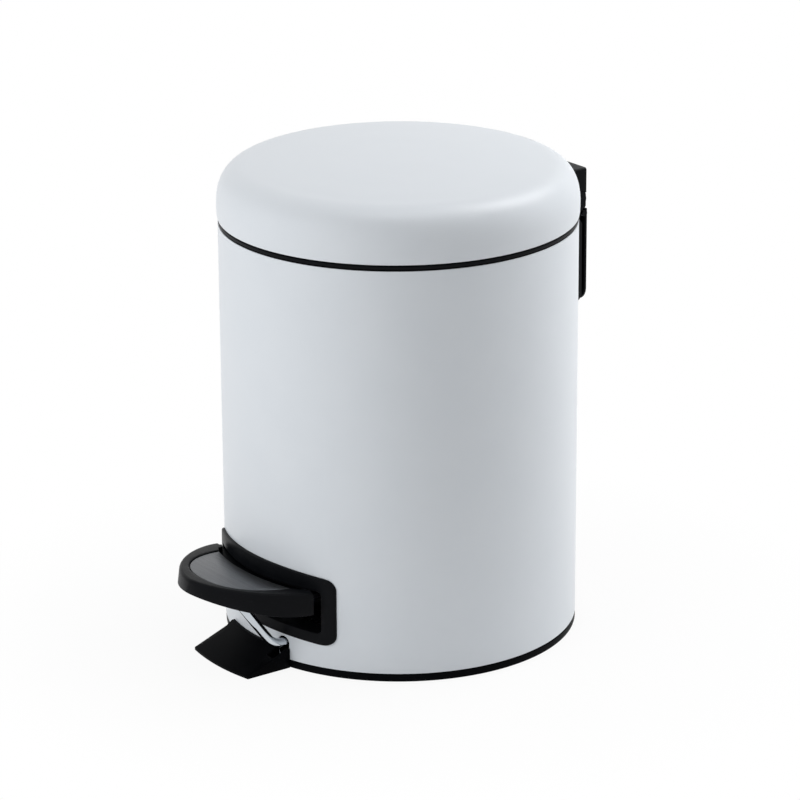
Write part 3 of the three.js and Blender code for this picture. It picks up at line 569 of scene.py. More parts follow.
def powder_coat():
    finish = Finish("white powder coat")
    tones = (0.750, 0.792, 0.838), (0.766, 0.806, 0.850)
    colour = finish.grained(1500.0, 38.0, *tones, 0.36, 0.44, 0.000012)
    finish.shade(Base_Color=colour, Coat_Weight=0.15, Coat_Roughness=0.3)
    return finish.material


def moulding(name, dark, light, low, high, depth=0.00002, rub=0.3, sheen=0.06):
    finish = Finish(name)
    colour = finish.grained(2600.0, 70.0, dark, light, low, high, depth)
    worn = (*[value * 1.5 for value in light], 1.0)
    finish.shade(Base_Color=finish.mix(finish.rubbed(rub), colour, worn), Specular_IOR_Level=sheen)
    return finish.material


def metal(name, lines_per_metre, dark, light, gloss, low, high, depth):
    """A brushed or plated metal. Its roughness follows its lines or its streaks."""
    finish = Finish(name)
    lines = finish.group(BRUSHED, Lines_per_metre=lines_per_metre)
    colour = finish.mix(lines["Streaks"], (*dark, 1.0), (*light, 1.0))
    rough = remap(finish.tree, lines[gloss], 0.0, 1.0, low, high)
    finish.shade(Base_Color=colour, Roughness=rough, Metallic=1.0)
    finish.relief(lines["Lines"], depth)
    return finish.material


def plated(name, dark, light, low, high):
    return metal(name, 900.0, dark, light, "Streaks", low, high, 0.000004)


WHITE = powder_coat()
BLACK = moulding("black moulding", (0.0034, 0.0038, 0.0048), (0.0046, 0.0050, 0.0062), 0.34, 0.42)
GREY = moulding("grey moulding", (0.040, 0.042, 0.045), (0.048, 0.050, 0.053), 0.42, 0.52, rub=0.2)
# A darker copy of the black moulding, with less sheen, for the toe and the base band, which lie low in shade:
# painted shade.
SHADED_BLACK = moulding(
    "black moulding in painted shade", (0.0016, 0.0018, 0.0024), (0.0024, 0.0027, 0.0034), 0.38, 0.46, sheen=0.02
)
RUBBER = moulding("black rubber", (0.008, 0.008, 0.009), (0.013, 0.013, 0.014), 0.75, 0.9, 0.00006, 0.1)
STEEL_TONES = (0.115, 0.120, 0.128), (0.150, 0.156, 0.165)
BRUSHED_STEEL = metal("brushed steel", 5200.0, *STEEL_TONES, "Lines", 0.32, 0.5, 0.000012)
ZINC = plated("bright zinc plate", (0.36, 0.39, 0.42), (0.44, 0.47, 0.50), 0.14, 0.24)
CHROME = plated("chrome plate", (0.52, 0.56, 0.60), (0.58, 0.62, 0.66), 0.05, 0.09)


# ---- finished pieces
def mark_edges(mesh):
    """How sharply the surface bends outwards at each point, from 0 to 1, as the piece's edge mask."""
    shape = bmesh.new()
    shape.from_mesh(mesh)
    values = [0.0] * len(shape.verts)
    for edge in shape.edges:
        if len(edge.link_faces) == 2 and edge.is_convex:
            bend = min(edge.calc_face_angle(0.0) / 0.6, 1.0)
            for vert in edge.verts:
                values[vert.index] = max(values[vert.index], bend)
    shape.free()
    mask = mesh.attributes.new("edge", "FLOAT", "POINT")
    mask.data.foreach_set("value", values)


def piece(name, mesh, finish, body, *nodes, crease=34):
    """A finished piece: smooth but for its creases, in metres, on its body and in its nodes' place."""
    mesh.name = name
    mesh.transform(Matrix.Scale(1 / METRE, 4))
    mesh.polygons.foreach_set("use_smooth", [True] * len(mesh.polygons))
    mesh.set_sharp_from_angle(angle=math.radians(crease))
    mark_edges(mesh)
    mesh.materials.clear()
    mesh.materials.append(finish)
    made = placed(name, mesh)
    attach(made, body)
    if nodes:
        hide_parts(*nodes)
    return made


# ---- body
def stay_slot(near, far):
    low, high = STAY_SLOT
    outline = [(STAY_SIDE + x, z) for x, z in rounded_rect(STAY_SLOT_HALF, low, high, STAY_SLOT_HALF - 0.1)]
    return prism(outline, "Y", -far, -near)


def opening(margin, corner):
    return rounded_rect(OPENING_HALF + margin, OPENING_LOW - margin, OPENING_HIGH + margin, corner)


SEAM_EASE = 0.55  # how far the steel edges stay back from the dark seam under the lid


def body_shell():
    wall = band(SHELL_INNER, BODY_RADIUS, shell_low.z, shell_high.z - SEAM_EASE, 0.25)
    window = prism(opening(TUNNEL_WALL + FIT, OPENING_CORNER + 1), "Y", -REACH_OUT, -REACH_IN)
    notch = block(-NOTCH_HALF, NOTCH_HALF, REACH_IN, REACH_OUT, HINGE_Z - 16, shell_high.z + 1)
    holes = screw_holes(CLEAR_HOLE, REACH_OUT, *BRACKET_SCREWS)
    return cut(wall, window, notch, stay_slot(REACH_IN, REACH_OUT), *holes)


def base_tray():
    lip = SHELL_INNER - FIT
    band_top = shell_low.z - FIT
    foot = BODY_RADIUS - 8
    outline = [
        (0, 0), (18, 0), (18, 1.5), (foot, 1.5), (foot, 0), (TRIM_RADIUS, 0), (TRIM_RADIUS, band_top),
        (lip, band_top), (lip, tray_high.z), (lip - 2, tray_high.z), (lip - 2, 3.5), (0, 3.5),
    ]
    toe_room = block(-12.3, 12.3, -REACH_OUT, 19 - BODY_RADIUS, -1, 1.5)
    return cut(turned(outline, 0.5), toe_room, stay_slot(REACH_IN, BODY_RADIUS - 0.5))


def rim_ring():
    outer = SHELL_INNER - FIT
    inner = outer - 2.5
    ledge = inner - 13.6
    seam = shell_high.z + FIT
    outline = [
        (outer, rim_low.z), (outer, seam), (TRIM_RADIUS, seam), (TRIM_RADIUS, rim_high.z),
        (inner, rim_high.z), (inner, LEDGE_TOP), (ledge, LEDGE_TOP), (ledge, rim_low.z),
    ]
    notch = block(-NOTCH_HALF, NOTCH_HALF, REACH_IN, REACH_OUT, rim_low.z - 5, rim_high.z + 5)
    return cut(turned(outline, 0.4), notch)


piece("body_shell", body_shell(), WHITE, "body", "outer_shell")
# The base band takes the darker copy of the black moulding: painted shade.
piece("base_band", base_tray(), SHADED_BLACK, "body", "base_tray")
piece("body_rim", rim_ring(), BLACK, "body", "rim_ring")


# ---- bezel round the pedal's opening
def wrapped(outline, depth):
    """An (x, z) outline laid on a cylinder that much larger than the shell."""
    radius = BODY_RADIUS + depth
    return [(x, -math.sqrt(radius * radius - x * x), z) for x, z in outline]


MOUTH_HALF = OPENING_HALF - 0.8
MOUTH_LOW = OPENING_LOW - 0.3
MOUTH_HIGH = OPENING_HIGH - 1.7
BEZEL_CORNER = 6.5
BEZEL_EASE = 1.0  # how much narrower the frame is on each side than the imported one
BEZEL_ARCH = 2.5  # rise of its upper edge at the centre
ARCH_HALF = 50.0  # half width of that arch
SAG_HALF = 47.5  # and of the lower edge's curve
SAG_CENTRE = 0.8
SAG_DEPTH = 2.0


def arched(outline, middle, arch):
    """The bezel's long edges curve: those above the middle rise by the arch at their centre."""
    curved = []
    for x, z in outline:
        if z > middle:
            rise = arch * max(0.0, 1 - (abs(x) / ARCH_HALF) ** 2.4)
        else:
            rise = SAG_CENTRE - SAG_DEPTH * min(abs(x) / SAG_HALF, 1.0) ** 2
        curved.append((x, z + rise))
    return curved


def pedal_bezel():
    steps, along = 8, 40
    proud = -bezel_low.y - BODY_RADIUS
    middle = (MOUTH_LOW + MOUTH_HIGH) / 2
    half = bezel_high.x - BEZEL_EASE

    def outer(inset, depth):
        low, high = bezel_low.z + inset, bezel_high.z - inset
        shape = rounded_rect(half - inset, low, high, BEZEL_CORNER - inset, steps, along)
        return wrapped(arched(shape, middle, BEZEL_ARCH), depth)

    def inner(margin, depth):
        low, high = MOUTH_LOW - margin, MOUTH_HIGH + margin
        shape = rounded_rect(MOUTH_HALF + margin, low, high, OPENING_CORNER + margin, steps, along)
        return wrapped(arched(shape, middle, 0.0), depth)

    edge = 0.7
    turns = [math.radians(30 * i) for i in range(4)]
    face_edge = [outer(edge * (1 - math.cos(t)), proud - edge * (1 - math.sin(t))) for t in turns]
    mouth_edge = [inner(edge * (1 - math.sin(t)), proud - edge * (1 - math.cos(t))) for t in turns]
    tunnel = [inner(0, -TUNNEL_DEPTH), inner(TUNNEL_WALL, -TUNNEL_DEPTH), inner(TUNNEL_WALL, FIT)]
    return loft([outer(0, FIT), *face_edge, *mouth_edge, *tunnel], closed=True)


piece("pedal_bezel_frame", pedal_bezel(), BLACK, "body", "pedal_bezel")

# ---- pedal
PEDAL_HALF = 49.1
PEDAL_REACH = 50.0  # from the pedal's widest place to its tip
PEDAL_POWER = 1.7  # roundness of its outline, where 2 is an ellipse
PEDAL_SLOPE = 0.1  # rise towards the tip
PEDAL_TOP = OPENING_HIGH - 0.6  # where it is widest
PEDAL_CEILING = PEDAL_TOP - 3
PEDAL_WALL = 2
PEDAL_FLARE = 1.3  # how far the skirt's lower edge stands out at the tip
PEDAL_ROUND = 2.3
PEDAL_REAR = 7.5  # its rear edge lies this far inside the shell
CAVITY_REAR = 13.5  # and the rear edge of its hollow
BOSS_Y = -BODY_RADIUS - 9.5
LEVER_TONGUE = PEDAL_TOP - 8  # top of the lever's tongue, which the bosses stand on
INSERT_POWER = 2.3
INSERT_SIDE = 13.3  # from the pedal's side, tip and the shell to the insert
INSERT_TIP = 9.1
INSERT_REAR = 6.9
SHOULDER_Y = 4.5 - BODY_RADIUS
SKIRT_REAR = PEDAL_TOP - 13.5
NECK_TOP = PEDAL_TOP - 3.4  # behind the insert the pedal is lower and narrower, and runs into the opening
NECK_HALF = 44.6
NECK_REACH = 3.2  # how far it stands out of the shell
TROUGH_HALF = 40.5  # the same for its lower part in front of the bezel
TROUGH_REACH = 6.5


def front_curve(half, reach, roundness, start=0.0, steps=96):
    """A rounded outline that bulges towards -Y, from left to right, less that share at both ends."""
    power = 2 / roundness
    points = []
    for i in range(steps + 1):
        turn = math.pi * (start + (1 - 2 * start) * i / steps)
        across = math.copysign(abs(math.cos(turn)) ** power, math.cos(turn))
        points.append((-half * across, SHOULDER_Y - reach * math.sin(turn) ** power))
    return points


def pedal_outline(inset, flare, rear_inset=PEDAL_REAR):
    half = PEDAL_HALF - inset
    rear = BODY_RADIUS - rear_inset - inset
    bearing = math.asin(half / rear)
    front = front_curve(half, PEDAL_REACH - inset + flare, PEDAL_POWER)
    return front + arc_points(rear, bearing, -bearing, 24)


def skirt_edge(y):
    forward = SHOULDER_Y - y
    return SKIRT_REAR + 0.05 * forward + 0.003 * forward * abs(forward)


def sloped(outline, height):
    """An outline laid on the pedal's slope, at that height where the pedal is widest."""
    return [(x, y, height + PEDAL_SLOPE * (SHOULDER_Y - y)) for x, y in outline]


def insert_outline(inset):
    """The insert's outline, with a rear edge that follows the body."""
    half = PEDAL_HALF - INSERT_SIDE - inset
    rear = BODY_RADIUS + INSERT_REAR + inset
    reach = PEDAL_REACH - INSERT_TIP - inset
    low, high = 0.0, 0.5
    for _ in range(30):
        start = (low + high) / 2
        x, y = front_curve(half, reach, INSERT_POWER, start, 1)[0]
        low, high = (start, high) if math.hypot(x, y) < rear else (low, start)
    front = front_curve(half, reach, INSERT_POWER, low)
    bearing = math.atan2(front[-1][0], -front[-1][1])
    return front + arc_points(rear, bearing, -bearing, 40)[1:-1]


def pedal_body():
    turns = [math.radians(15 * i) for i in range(7)]
    skirt = [
        [(x, y, skirt_edge(y) + rise) for x, y in pedal_outline(inset, PEDAL_FLARE)]
        for inset, rise in ((0.5, 0.0), (0.15, 0.15), (0.0, 0.5))
    ]
    edge = [(PEDAL_ROUND * (1 - math.cos(t)), PEDAL_ROUND * (1 - math.sin(t))) for t in turns]
    top = [sloped(pedal_outline(inset, 0.0), PEDAL_TOP - drop) for inset, drop in edge]
    under = pedal_outline(PEDAL_WALL, PEDAL_FLARE * 1.4, CAVITY_REAR)
    ceiling = sloped(pedal_outline(PEDAL_WALL, 0.0, CAVITY_REAR), PEDAL_CEILING)
    cavity = loft([[(x, y, SKIRT_REAR - 5) for x, y in under], ceiling])
    pocket = loft([sloped(insert_outline(inset), PEDAL_TOP + height) for inset, height in POCKET])
    bosses = sides_of(lambda s: bar_along_z(6, s * 6, BOSS_Y, LEVER_TONGUE + FIT, PEDAL_CEILING + 1.7))
    above = NECK_TOP + 20
    trough = block(-TROUGH_HALF, TROUGH_HALF, -BODY_RADIUS - 20, 0, 0, PEDAL_TOP + 40)
    trough = common(drum(BODY_RADIUS + TROUGH_REACH, NECK_TOP, above), trough)
    neck = drum(BODY_RADIUS + NECK_REACH, NECK_TOP, above)
    hollow = cut(cavity, drum(BODY_RADIUS + 9, NECK_TOP - 2, above))
    aside = PEDAL_HALF + 9
    beside = sides_of(lambda s: block(*between(s, NECK_HALF, aside), SHOULDER_Y + 1, 0, 0, PEDAL_TOP + 20))
    return join(cut(loft([*skirt, *top]), hollow, pocket, neck, trough, *beside), *bosses)


# inset and height of the sides of the insert's pocket, and of the insert
POCKET = [(-0.45, -1.5), (-0.45, -0.75), (-0.65, -0.35), (-1.15, -0.08), (-2.0, 0.0), (-2.6, 0.3)]
PLATE = [(0.0, -1.1), (0.0, -0.75), (0.1, -0.6), (0.35, -0.52)]


piece("pedal_pad", pedal_body(), BLACK, "pedal", "pedal_shell")
insert = loft([sloped(insert_outline(inset), PEDAL_TOP + height) for inset, height in PLATE])
piece("pedal_plate", insert, BRUSHED_STEEL, "pedal", "pedal_insert")


def stay_path():
    beside = 11 + FIT + STAY_DIAMETER / 2
    front = -BODY_RADIUS
    places = [
        (STAY_SIDE, front - 31, PEDAL_CEILING + PEDAL_SLOPE * (31 + BODY_RADIUS + SHOULDER_Y) - 1.9),
        (STAY_SIDE, front - 17.5, 32.2), (STAY_SIDE, front - 10, 22), (STAY_SIDE, front - 5.7, 17.2),
        (STAY_SIDE, front - 0.5, STAY_HEIGHT + 0.2), (STAY_SIDE, front + 7, STAY_HEIGHT),
        (STAY_SIDE - 1, front + 14, STAY_HEIGHT),
        ((STAY_SIDE + beside) / 2, PIVOT_Y - 20, STAY_HEIGHT + 0.6),
        (beside, PIVOT_Y - 14, STAY_HEIGHT + 1), (beside, PIVOT_Y - 8, STAY_HEIGHT + 1.4),
    ]
    return [Vector(place) for place in places]


piece("pedal_stay_rod", wire(smooth_path(stay_path(), 8), STAY_DIAMETER), CHROME, "pedal", "pedal_stay")
piece("pedal_lever_arm", softened_copy("pedal_lever", 0.3), ZINC, "pedal", "pedal_lever")
piece("fulcrum_foot", softened_copy("fulcrum_bracket", 0.3), ZINC, "body", "fulcrum_bracket")


# ---- toe under the pedal
TOE_ROOT_HALF = 29
TOE_TIP_HALF = 26.8
TOE_EXTRA = 1.3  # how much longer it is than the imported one
COLLAR_EXTRA = 0.9  # and how much higher its collar


def toe():
    inner = BODY_RADIUS + FIT
    collar = inner + 2.2
    outer = TOE_EXTRA - toe_low.y
    collar_top = toe_high.z + COLLAR_EXTRA
    outline = [
        (inner, 0), (outer, 0), (outer, 1.6), (collar + 3.4, 9.2), (collar + 0.4, collar_top - 0.5),
        (collar - 0.4, collar_top), (inner, collar_top),
    ]
    root = math.asin(TOE_ROOT_HALF / BODY_RADIUS)
    tip = math.asin(TOE_TIP_HALF / outer)
    plan = arc_points(BODY_RADIUS - 4, root, -root, 6) + arc_points(outer + 1, -tip, tip, 6)
    wedge = common(turned(outline, 0.0, 2 * SIDES), prism(plan, "Z", -1, collar_top + 1))
    tongue = block(-12, 12, -inner - 3, 18 - BODY_RADIUS, 0, 1.2)
    low, _ = STAY_SLOT
    room = STAY_DIAMETER / 2 + 0.3
    groove = block(STAY_SIDE - room, STAY_SIDE + room, -BODY_RADIUS - 7, -REACH_IN, low - 0.2, 20)
    return softened(cut(join(wedge, tongue), groove), 0.35)


# The toe takes the darker copy of the black moulding: painted shade, as it lies under the pedal.
piece("floor_toe", toe(), SHADED_BLACK, "body", "anti_tip_toe")


# ---- lid
SIDE_TOP = lid_low.z + 7.8
SHOULDER_WIDTH = 17.8
SHOULDER_HEIGHT = 22.7
CROWN_HEIGHT = lid_high.z - SIDE_TOP - SHOULDER_HEIGHT
DOME_STEPS = (28, 14)  # along the shoulder and the crown


def dome(inwards, edge_z):
    """The lid's line from its lower edge to the axis, moved inwards, as (radius, height) points."""
    radius = lid_high.x - inwards
    flat = radius - SHOULDER_WIDTH
    top = SIDE_TOP + SHOULDER_HEIGHT - inwards
    shoulder_steps, crown_steps = DOME_STEPS
    slope = 2 * CROWN_HEIGHT / flat
    pull = SHOULDER_WIDTH * 0.62
    shoulder = interpolate_bezier(
        Vector((radius, SIDE_TOP)),
        Vector((radius, SIDE_TOP + (SHOULDER_HEIGHT - inwards) * 0.66)),
        Vector((flat + pull, top - slope * pull)),
        Vector((flat, top)),
        shoulder_steps,
    )
    shares = [1 - (i + 1) / crown_steps for i in range(crown_steps)]
    crown = [(flat * share, top + CROWN_HEIGHT * (1 - share * share)) for share in shares]
    side = [(radius - 0.5, edge_z), (radius - 0.2, edge_z + 1.5), (radius - 0.05, edge_z + 4)]
    return side + [tuple(point) for point in shoulder] + crown


def lid_skin(outer, inner, rise):
    """A layer of the lid between two distances inwards, its edge raised from the lid's lowest point."""
    edge_z = lid_low.z + rise
    layer = turned([*reversed(dome(outer, edge_z)), *dome(inner, edge_z)], 0.3)
    return cut(layer, *screw_holes(CLEAR_HOLE, HINGE_Y, *LID_SCREWS))


piece("lid_cover", lid_skin(0, 1, SEAM_EASE), WHITE, "lid", "lid_shell")
piece("lid_inside", lid_skin(1.3, 2.7, 1.3), BLACK, "lid", "lid_liner")


def lid_bumper(bearing):
    """A rubber pad in the liner's edge, which lands on the rim."""
    radius = lid_high.x - 1.5
    half = 5 / radius
    ring = band(radius - 1.9, radius - 0.4, rim_high.z + FIT, lid_low.z + 1)
    wedge = prism([(0, 0), *arc_points(radius + 9, bearing - half, bearing + half, 8)], "Z", 200, 300)
    return softened(common(ring, wedge), 0.3)


for place, bearing in (("front", 0), ("left", -1.9), ("right", 1.9)):
    piece("bumper_" + place, lid_bumper(bearing), RUBBER, "lid", "lid_bumper_" + place)


# ---- hinge
BLOCK_EXTRA = 1.1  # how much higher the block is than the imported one
BLOCK_CORNER = 1.4
LIP_RISE = 3.5  # lower edge of its lip, above the hinge axis


def lid_block():
    """The block on the lid's back, with its knuckle and the arm that the push rod lifts."""
    under = HINGE_Z + BARREL_RADIUS + FIT
    top = arm_high.z + BLOCK_EXTRA
    back = arm_high.y
    lip = HINGE_Z + LIP_RISE
    shape = [(REACH_IN, under), (HINGE_Y, under), (HINGE_Y, lip), (back, lip), (back, top), (REACH_IN, top)]
    front = prism(rounded_rect(HINGE_HALF, under - 6, top, BLOCK_CORNER), "Y", REACH_IN - 1, back + 1)
    clear = turned([*reversed(dome(-FIT, lid_low.z - 9)), (0, lid_low.z - 9)])
    barrel_room = pin_along_x(2 * BARREL_RADIUS + 1.4, -HINGE_HALF - 1, HINGE_HALF + 1, HINGE_Y, HINGE_Z, 64)
    body = common(prism(shape, "X", -HINGE_HALF, HINGE_HALF), front)
    body = softened(cut(body, clear, barrel_room), 0.4, 3)
    neck = [
        (lid_high.x + 1, HINGE_Z), (HINGE_Y + BARREL_RADIUS - 0.2, HINGE_Z), (back, under + 1),
        (lid_high.x + 1, under + 1),
    ]
    knuckle = pin_along_x(2 * BARREL_RADIUS, -KNUCKLE_HALF, KNUCKLE_HALF, HINGE_Y, HINGE_Z, 48)
    arm = softened(block(-4.5, 4.5, arm_low.y, HINGE_Y, HINGE_Z - 2.7, HINGE_Z + 2.7), 0.5)
    fork = block(-2.3, 2.3, arm_low.y - 1, ROD_Y + 13, HINGE_Z - 6, HINGE_Z + 6)
    bore = pin_along_x(HINGE_BORE, -KNUCKLE_HALF - 1, KNUCKLE_HALF + 1, HINGE_Y, HINGE_Z)
    pin_hole = pin_along_x(ROD_BORE, -6, 6, ROD_Y, HINGE_Z, 24)
    whole = join(body, prism(neck, "X", -KNUCKLE_HALF, KNUCKLE_HALF), knuckle, arm)
    return cut(whole, fork, bore, pin_hole, *screw_holes(THREAD_HOLE, back - 2.5, *LID_SCREWS))


HANDLE_BAR = 5.5  # width of the handle's side bars
LUG_OUTER = HINGE_HALF - HANDLE_BAR - FIT
LUG_INNER = LUG_OUTER - 4
HANDLE_Y = HINGE_Y + 3.7
HANDLE_Z = HINGE_Z - 9.0


def fixed_bracket():
    back = HINGE_Y + 4.4
    housing = HINGE_Y + 1.8
    low = bracket_low.z
    shape = [
        (REACH_IN, low), (housing - 2, low), (housing, low + 2), (housing, HINGE_Z - 14.6),
        (HINGE_Y - 0.4, HINGE_Z - 11.5), (HINGE_Y + 0.3, HINGE_Z - 10.4), (back, HINGE_Z - 4.5),
        (back, HINGE_Z + 2.9), (HINGE_Y + 3.6, HINGE_Z + 3.8), (HINGE_Y, HINGE_Z + BARREL_RADIUS),
        (HINGE_Y, HINGE_Z + 1.7), (REACH_IN, HINGE_Z + 1.7),
    ]
    lug = [
        (HINGE_Y - 1, HINGE_Z - 14.6), (housing, HINGE_Z - 14.6), (HANDLE_Y + 1.8, HANDLE_Z - 1),
        (HANDLE_Y + 1.8, HANDLE_Z + 1), (HANDLE_Y + 0.6, HANDLE_Z + 2.2), (HINGE_Y - 1, HINGE_Z - 4.5),
    ]
    barrel = pin_along_x(2 * BARREL_RADIUS, -HINGE_HALF, HINGE_HALF, HINGE_Y, HINGE_Z, 48)
    swing = 2 * (math.hypot(2.9, 1.4) + FIT)
    rooms = sides_of(lambda s: pin_along_x(swing, *between(s, LUG_OUTER, HINGE_HALF + 1), HANDLE_Y, HANDLE_Z))
    main = cut(join(prism(shape, "X", -HINGE_HALF, HINGE_HALF), barrel), *rooms)
    lugs = sides_of(lambda s: prism(lug, "X", *between(s, LUG_INNER, LUG_OUTER)))
    body = drum(BODY_RADIUS + FIT, low - 9, HINGE_Z + 9)
    gap = KNUCKLE_HALF + 0.4
    slot = block(-gap, gap, REACH_IN, HINGE_Y + 20, HINGE_Z - 8.3, HINGE_Z + 20)
    recess_outline = rounded_rect(LUG_INNER - 1, HINGE_Z - 54, HINGE_Z - 20, 5)
    recess = prism(recess_outline, "Y", BODY_RADIUS + 2.4, HINGE_Y + 20)
    whole = cut(join(main, *lugs), body, slot, recess)
    bore = pin_along_x(HINGE_BORE, -HINGE_HALF - 1, HINGE_HALF - 2.5, HINGE_Y, HINGE_Z)
    trunnions = pin_along_x(2.6, -HINGE_HALF, HINGE_HALF, HANDLE_Y, HANDLE_Z, 24)
    holes = screw_holes(THREAD_HOLE, HINGE_Y, *BRACKET_SCREWS)
    return cut(softened(whole, 0.45), bore, trunnions, *holes)


def carry_handle():
    outer = handle_high.y
    inner = outer - 1.5
    low, top = handle_low.z, handle_high.z
    plate = prism(rounded_rect(HINGE_HALF, low, top, 8), "Y", inner, outer)
    square = block(-HINGE_HALF, HINGE_HALF, inner, outer, HANDLE_Z - 9, top)
    window = rounded_rect(HINGE_HALF - HANDLE_BAR, low + 9.5, top + 9.5, 4)
    frame_plate = cut(join(plate, square), prism(window, "Y", inner - 1, outer + 1))
    grip = block(-LUG_INNER, LUG_INNER, inner - 1.2, outer - 0.5, low + 2, low + 8)
    shaped = softened(join(softened(frame_plate, 0.5), softened(grip, 0.6)), 0.2)
    axis = HANDLE_Y, HANDLE_Z
    eyes = sides_of(lambda s: pin_along_x(3.6, *between(s, HINGE_HALF - HANDLE_BAR, HINGE_HALF), *axis))
    pins = sides_of(lambda s: pin_along_x(2.0, *between(s, LUG_INNER + 0.5, HINGE_HALF - 1), *axis, 20))
    return join(shaped, *eyes, *pins)


piece("lid_hinge_block", lid_block(), BLACK, "lid", "lid_hinge_arm")
piece("rear_bracket", fixed_bracket(), BLACK, "body", "hinge_bracket")
piece("rear_handle", carry_handle(), BLACK, "handle", "carry_handle")


def steel_pin(name, diameter, body, node):
    """A cross pin with its ends eased."""
    low, high = span(node)
    piece(name, softened(pin_along_x(diameter, low.x, high.x, *cross_pin(node)), 0.3), ZINC, body, node)


steel_pin("hinge_shaft", 4.0, "body", "hinge_pin")
steel_pin("rod_cross_pin", 2.5, "lid", "rod_pin")
steel_pin("lever_shaft", 4.0, "body", "lever_pin")


# ---- push rod
def lift_rod():
    foot_low, _ = span("push_rod")
    shaft = bar_along_z(3.2, 0, ROD_Y, foot_low.z, HINGE_Z - 2)
    eye = softened(pin_along_x(6.4, -2, 2, ROD_Y, HINGE_Z, 40), 0.4)
    return cut(join(shaft, eye), pin_along_x(ROD_BORE, -3, 3, ROD_Y, HINGE_Z, 24))


def rod_cap():
    foot_low, foot_high = span("rod_foot")
    base, top = foot_low.z, foot_high.z
    outline = [(0, base), (1.1, base), (2.25, base + 0.5), (3, base + 1.3), (3, top), (0, top)]
    cap = turned(outline, 0.4, 48)
    cap.transform(Matrix.Translation((0, ROD_Y, 0)))
    return cut(cap, bar_along_z(3.8, 0, ROD_Y, base + 1.3, top + 1))


piece("lift_rod", lift_rod(), ZINC, "rod", "push_rod")
piece("lift_rod_cap", rod_cap(), BLACK, "rod", "rod_foot")


# ---- bucket
BUCKET_TOP = 84.0
BUCKET_BASE = 73.0
BUCKET_WALL = 1.6
BAIL_RADIUS = 88.3
BAIL_Z = span("bucket_bail")[0].z + 1.5


def bucket():
    floor = bucket_low.z
    flange_under = LEDGE_TOP + FIT
    flange_top = flange_under + BUCKET_WALL
    flange = bucket_high.x
    outline = [
        (0, floor), (BUCKET_BASE, floor), (BUCKET_TOP, flange_under), (flange, flange_under),
        (flange, flange_top), (BUCKET_TOP - BUCKET_WALL, flange_top),
        (BUCKET_BASE - BUCKET_WALL, floor + BUCKET_WALL), (0, floor + BUCKET_WALL),
    ]
    ear_in = BAIL_RADIUS + 3
    ear_top = BAIL_Z + 2.7
    ear_foot = flange_top - 0.5
    ears = sides_of(lambda s: softened(block(*between(s, ear_in, ear_in + 3), -4, 4, ear_foot, ear_top), 0.6))
    bore = pin_along_x(3.6, -BODY_RADIUS, BODY_RADIUS, 0, BAIL_Z)
    notch_half = NOTCH_HALF - 2
    notch = block(-notch_half, notch_half, BUCKET_TOP + 0.1, BODY_RADIUS, flange_under - 5, flange_top + 5)
    return cut(join(turned(outline, 0.7), *ears), bore, notch)


def bail_arc(half, steps):
    return [Vector((x, y, BAIL_Z)) for x, y in arc_points(BAIL_RADIUS, -half, half, steps)]


def bail_wire():
    ear_out = BAIL_RADIUS + 6.8
    ends = [Vector((side * ear_out, 0, BAIL_Z)) for side in (-1, 1)]
    near = [Vector((side * (BAIL_RADIUS + 0.8), -0.9, BAIL_Z)) for side in (-1, 1)]
    arc = bail_arc(math.radians(86), 72)
    return wire([ends[0], near[0], *arc, near[1], ends[1]], 3.0)


def bail_grip():
    half = 31 / BAIL_RADIUS
    tube = softened(wire(bail_arc(half, 24), 5.4, 28), 0.8, 3)
    return cut(tube, wire(bail_arc(half * 1.1, 28), 3.6, 16))


piece("bin_bucket", bucket(), GREY, "body", "inner_bucket")
piece("bail_wire", bail_wire(), ZINC, "bail", "bucket_bail")
piece("bail_sleeve", bail_grip(), BLACK, "bail", "bail_grip")


# ---- screws
SMALL_SCREW = (6.0, 2.4)  # diameters of head and shank
LARGE_SCREW = (7.0, 3.4)
SCREW_HEAD = 2.0  # height of either head


def screw_set(name, nodes, axis, aim, diameters, body):
    """Cross-head screws in place of packed ones that are alike: they share an axis and an aim."""
    places = []
    for node in nodes:
        low, high = span(node)
        place = (low + high) / 2
        place[axis] = (low if aim > 0 else high)[axis] + aim * SCREW_HEAD / 2
        places.append(tuple(place))
    low, high = span(nodes[0])
    points = bpy.data.meshes.new("places")
    points.from_pydata(places, [], [])
    shape = grown(
        SCREWS,
        points,
        Aim=[aim if i == axis else 0.0 for i in range(3)],
        Head_diameter=diameters[0],
        Head_height=SCREW_HEAD,
        Shank_diameter=diameters[1],
        Length=high[axis] - low[axis] - SCREW_HEAD / 2,
    )
    piece(name, shape, ZINC, body, *nodes)


screw_set("toe_fixing", ["toe_screw"], 2, -1.0, SMALL_SCREW, "body")
screw_set("fulcrum_fixings", ["fulcrum_screw_front", "fulcrum_screw_rear"], 2, -1.0, SMALL_SCREW, "body")
screw_set("pedal_fixings", ["pedal_screw_left", "pedal_screw_right"], 2, 1.0, SMALL_SCREW, "pedal")
screw_set("bracket_fixings", ["bracket_screw_left", "bracket_screw_right"], 1, 1.0, LARGE_SCREW, "body")
screw_set("lid_fixings", ["lid_screw_left", "lid_screw_right"], 1, 1.0, LARGE_SCREW, "lid")


# ---- studio
FLOOR_REACH = 12.0
FLOOR_DROP = 0.0002  # how far it lies under the bin
SHADOW = (0.08, 0.27, 0.90)  # the shadow fades between two distances from the axis, from this share of white
ROOM_LEVEL = 0.2  # the light of the room, as a share of the white that is seen

VIEW_AZIMUTH = 53.5
VIEW_ELEVATION = 19.25
VIEW_ROLL = -0.35
VIEW_DISTANCE = 2.1604
VIEW_HEIGHT = 0.132
VIEW_SHIFT = (0.00075, 0.00079)
LENS = 168.43
SENSOR = 36.0

